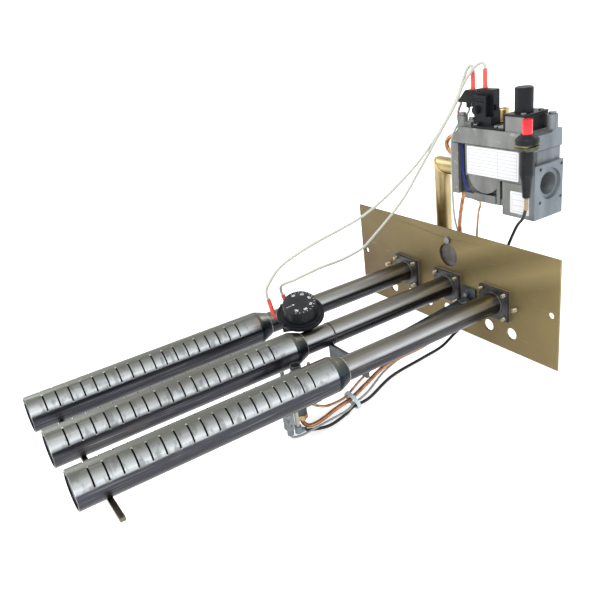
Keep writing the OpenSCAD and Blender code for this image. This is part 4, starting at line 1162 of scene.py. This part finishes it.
class BURNER_OT_dial(bpy.types.Operator):
    """Makes the thermostat's dial with its plain numbers, ticks and pointer"""

    bl_idname = "burner.dial"
    bl_label = "Dial and marks"

    def execute(self, context):
        top = DIAL_TOP + INK
        points, faces, base = [], [], 0
        right, _, out = stat_axes()
        body = [(0.02, 1.0), (16.7, 1.0), (16.5, 2.0), (15.9, 13.0), (15.7, 13.4), (15.3, DIAL_TOP),
                (0.02, DIAL_TOP)]
        piece("dial_turned", [lathe(body, STAT_BASE, out, right, 96)], FINISHES["dial"], "dial",
              ("thermostat_dial",), sharp=32)

        def add(flat, poly, angle, radius):
            """Turns a flat shape so that its top points outwards at an angle, set on the dial's top."""
            nonlocal base
            a = math.radians(angle)
            turn = np.array([[math.sin(a), -math.cos(a)], [math.cos(a), math.sin(a)]])
            xy = flat[:, :2] @ turn + radius * np.array([math.cos(a), math.sin(a)])
            points.append(np.column_stack([xy, np.full(len(xy), top)]))
            faces.extend([[base + i for i in p] for p in poly])
            base += len(flat)

        for k in range(6):
            flat, poly = digits(str(40 + 10 * k), 3.6)
            add(flat, poly, NUMBER_START - NUMBER_STEP * k, 10.8)
        w, h = 0.34, 1.4
        bar = np.array([(-w / 2, -h / 2), (w / 2, -h / 2), (w / 2, h / 2), (-w / 2, h / 2)])
        for k in range(16):
            add(bar, [[0, 1, 2, 3]], NUMBER_START - NUMBER_STEP / 3 * k, 14.1)
        wedge = np.array([(-0.95, 0.9), (0.0, -1.2), (0.95, 0.9)])
        add(wedge, [[0, 1, 2]], POINTER_TURN, 6.2)
        dash = np.array([(-0.22, -0.7), (0.22, -0.7), (0.22, 0.7), (-0.22, 0.7)])
        for r in (9.0, 11.0, 13.0):
            add(dash, [[0, 1, 2, 3]], POINTER_TURN, r)
        me = bpy.data.meshes.new("dial_marks")
        me.from_pydata(at(on_stat(np.vstack(points))).tolist(), [], faces)
        me.materials.append(FINISHES["mark"])
        me.update()
        ob = bpy.data.objects.new("dial_marks", me)
        context.scene.collection.objects.link(ob)
        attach(ob, "dial")
        return {"FINISHED"}


class BURNER_OT_labels(bpy.types.Operator):
    """Lays the blank labels on the valve with rounded corners"""

    bl_idname = "burner.labels"
    bl_label = "Blank labels"

    def execute(self, context):
        def card(x0, z0, x1, z1, y, corner):
            """A thin card: rows are the front and back outlines of a rectangle with quarter-round corners."""
            a = np.linspace(0, 2 * np.pi, 48, endpoint=False)
            cx = np.where(np.cos(a) > 0, x1 - corner, x0 + corner)
            cz = np.where(np.sin(a) > 0, z1 - corner, z0 + corner)
            x = cx + corner * np.cos(a)
            z = cz + corner * np.sin(a)
            rows = [np.stack([x, np.full_like(a, v), z], 1) for v in (y, y - 0.25)]
            return np.stack(rows)

        low = at((10.4, 0, 117.8))
        piece("front_label", [card(10.4, 117.8, 74.3, 145.5, 20.0, 1.6)],
              label_paper("front_label_paper", 0.0639, 0.0277, 7, (0.0, 0.62, 1.0), (low[0], low[2])),
              "burner", ("valve_labels",), sharp=40)
        low = at((66, 0, 88))
        piece("side_label", [card(66, 88, 88, 109, 18.5, 1.2)],
              label_paper("side_label_paper", 0.022, 0.021, 3, (0.0, 1.0), (low[0], low[2])),
              "burner", (), sharp=40)
        return {"FINISHED"}


class BURNER_OT_solids(bpy.types.Operator):
    """Gives every carried-over solid its finish and rounds its sharp edges"""

    bl_idname = "burner.solids"
    bl_label = "Solid finishes"

    def execute(self, context):
        for finish, nodes in NODE_FINISH.items():
            for name in nodes:
                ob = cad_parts[name]
                ob.data.materials.clear()
                ob.data.materials.append(FINISHES[finish])
        for name, width in ROUNDED.items():
            round_edges(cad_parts[name], width)
        return {"FINISHED"}


class BURNER_PT_panel(bpy.types.Panel):
    """Lists the burner's values and steps"""

    bl_label = "Burner"
    bl_space_type = "VIEW_3D"
    bl_region_type = "UI"
    bl_category = "Burner"

    def draw(self, context):
        s = context.scene.burner_finish
        for key in ("tube_colour", "floor_colour", "lens", "lead_sides", "weld_ripples", "wire_diameter"):
            self.layout.prop(s, key)
        for step in STEPS:
            self.layout.operator(step.bl_idname)


STEPS = (BURNER_OT_stage, BURNER_OT_leads, BURNER_OT_solids, BURNER_OT_heads, BURNER_OT_welds,
         BURNER_OT_riser, BURNER_OT_igniter, BURNER_OT_valve, BURNER_OT_fasteners, BURNER_OT_sleeves,
         BURNER_OT_dial, BURNER_OT_labels)
CLASSES = (BURNER_PG_finish, *STEPS, BURNER_PT_panel)


def register():
    """Adds the classes and the scene's values."""
    for c in CLASSES:
        bpy.utils.register_class(c)
    bpy.types.Scene.burner_finish = PointerProperty(type=BURNER_PG_finish)


def unregister():
    """Takes the classes and the scene's values away again."""
    del bpy.types.Scene.burner_finish
    for c in reversed(CLASSES):
        bpy.utils.unregister_class(c)


def main():
    """Builds the scene step by step."""
    register()
    make_finishes()
    bpy.ops.burner.stage()
    bpy.ops.burner.leads()
    bpy.ops.burner.solids()
    bpy.ops.burner.heads()
    bpy.ops.burner.welds()
    bpy.ops.burner.riser()
    bpy.ops.burner.igniter()
    bpy.ops.burner.valve()
    bpy.ops.burner.fasteners()
    bpy.ops.burner.sleeves()
    bpy.ops.burner.dial()
    bpy.ops.burner.labels()
    bpy.context.view_layer.update()


if __name__ == "__main__":
    main()
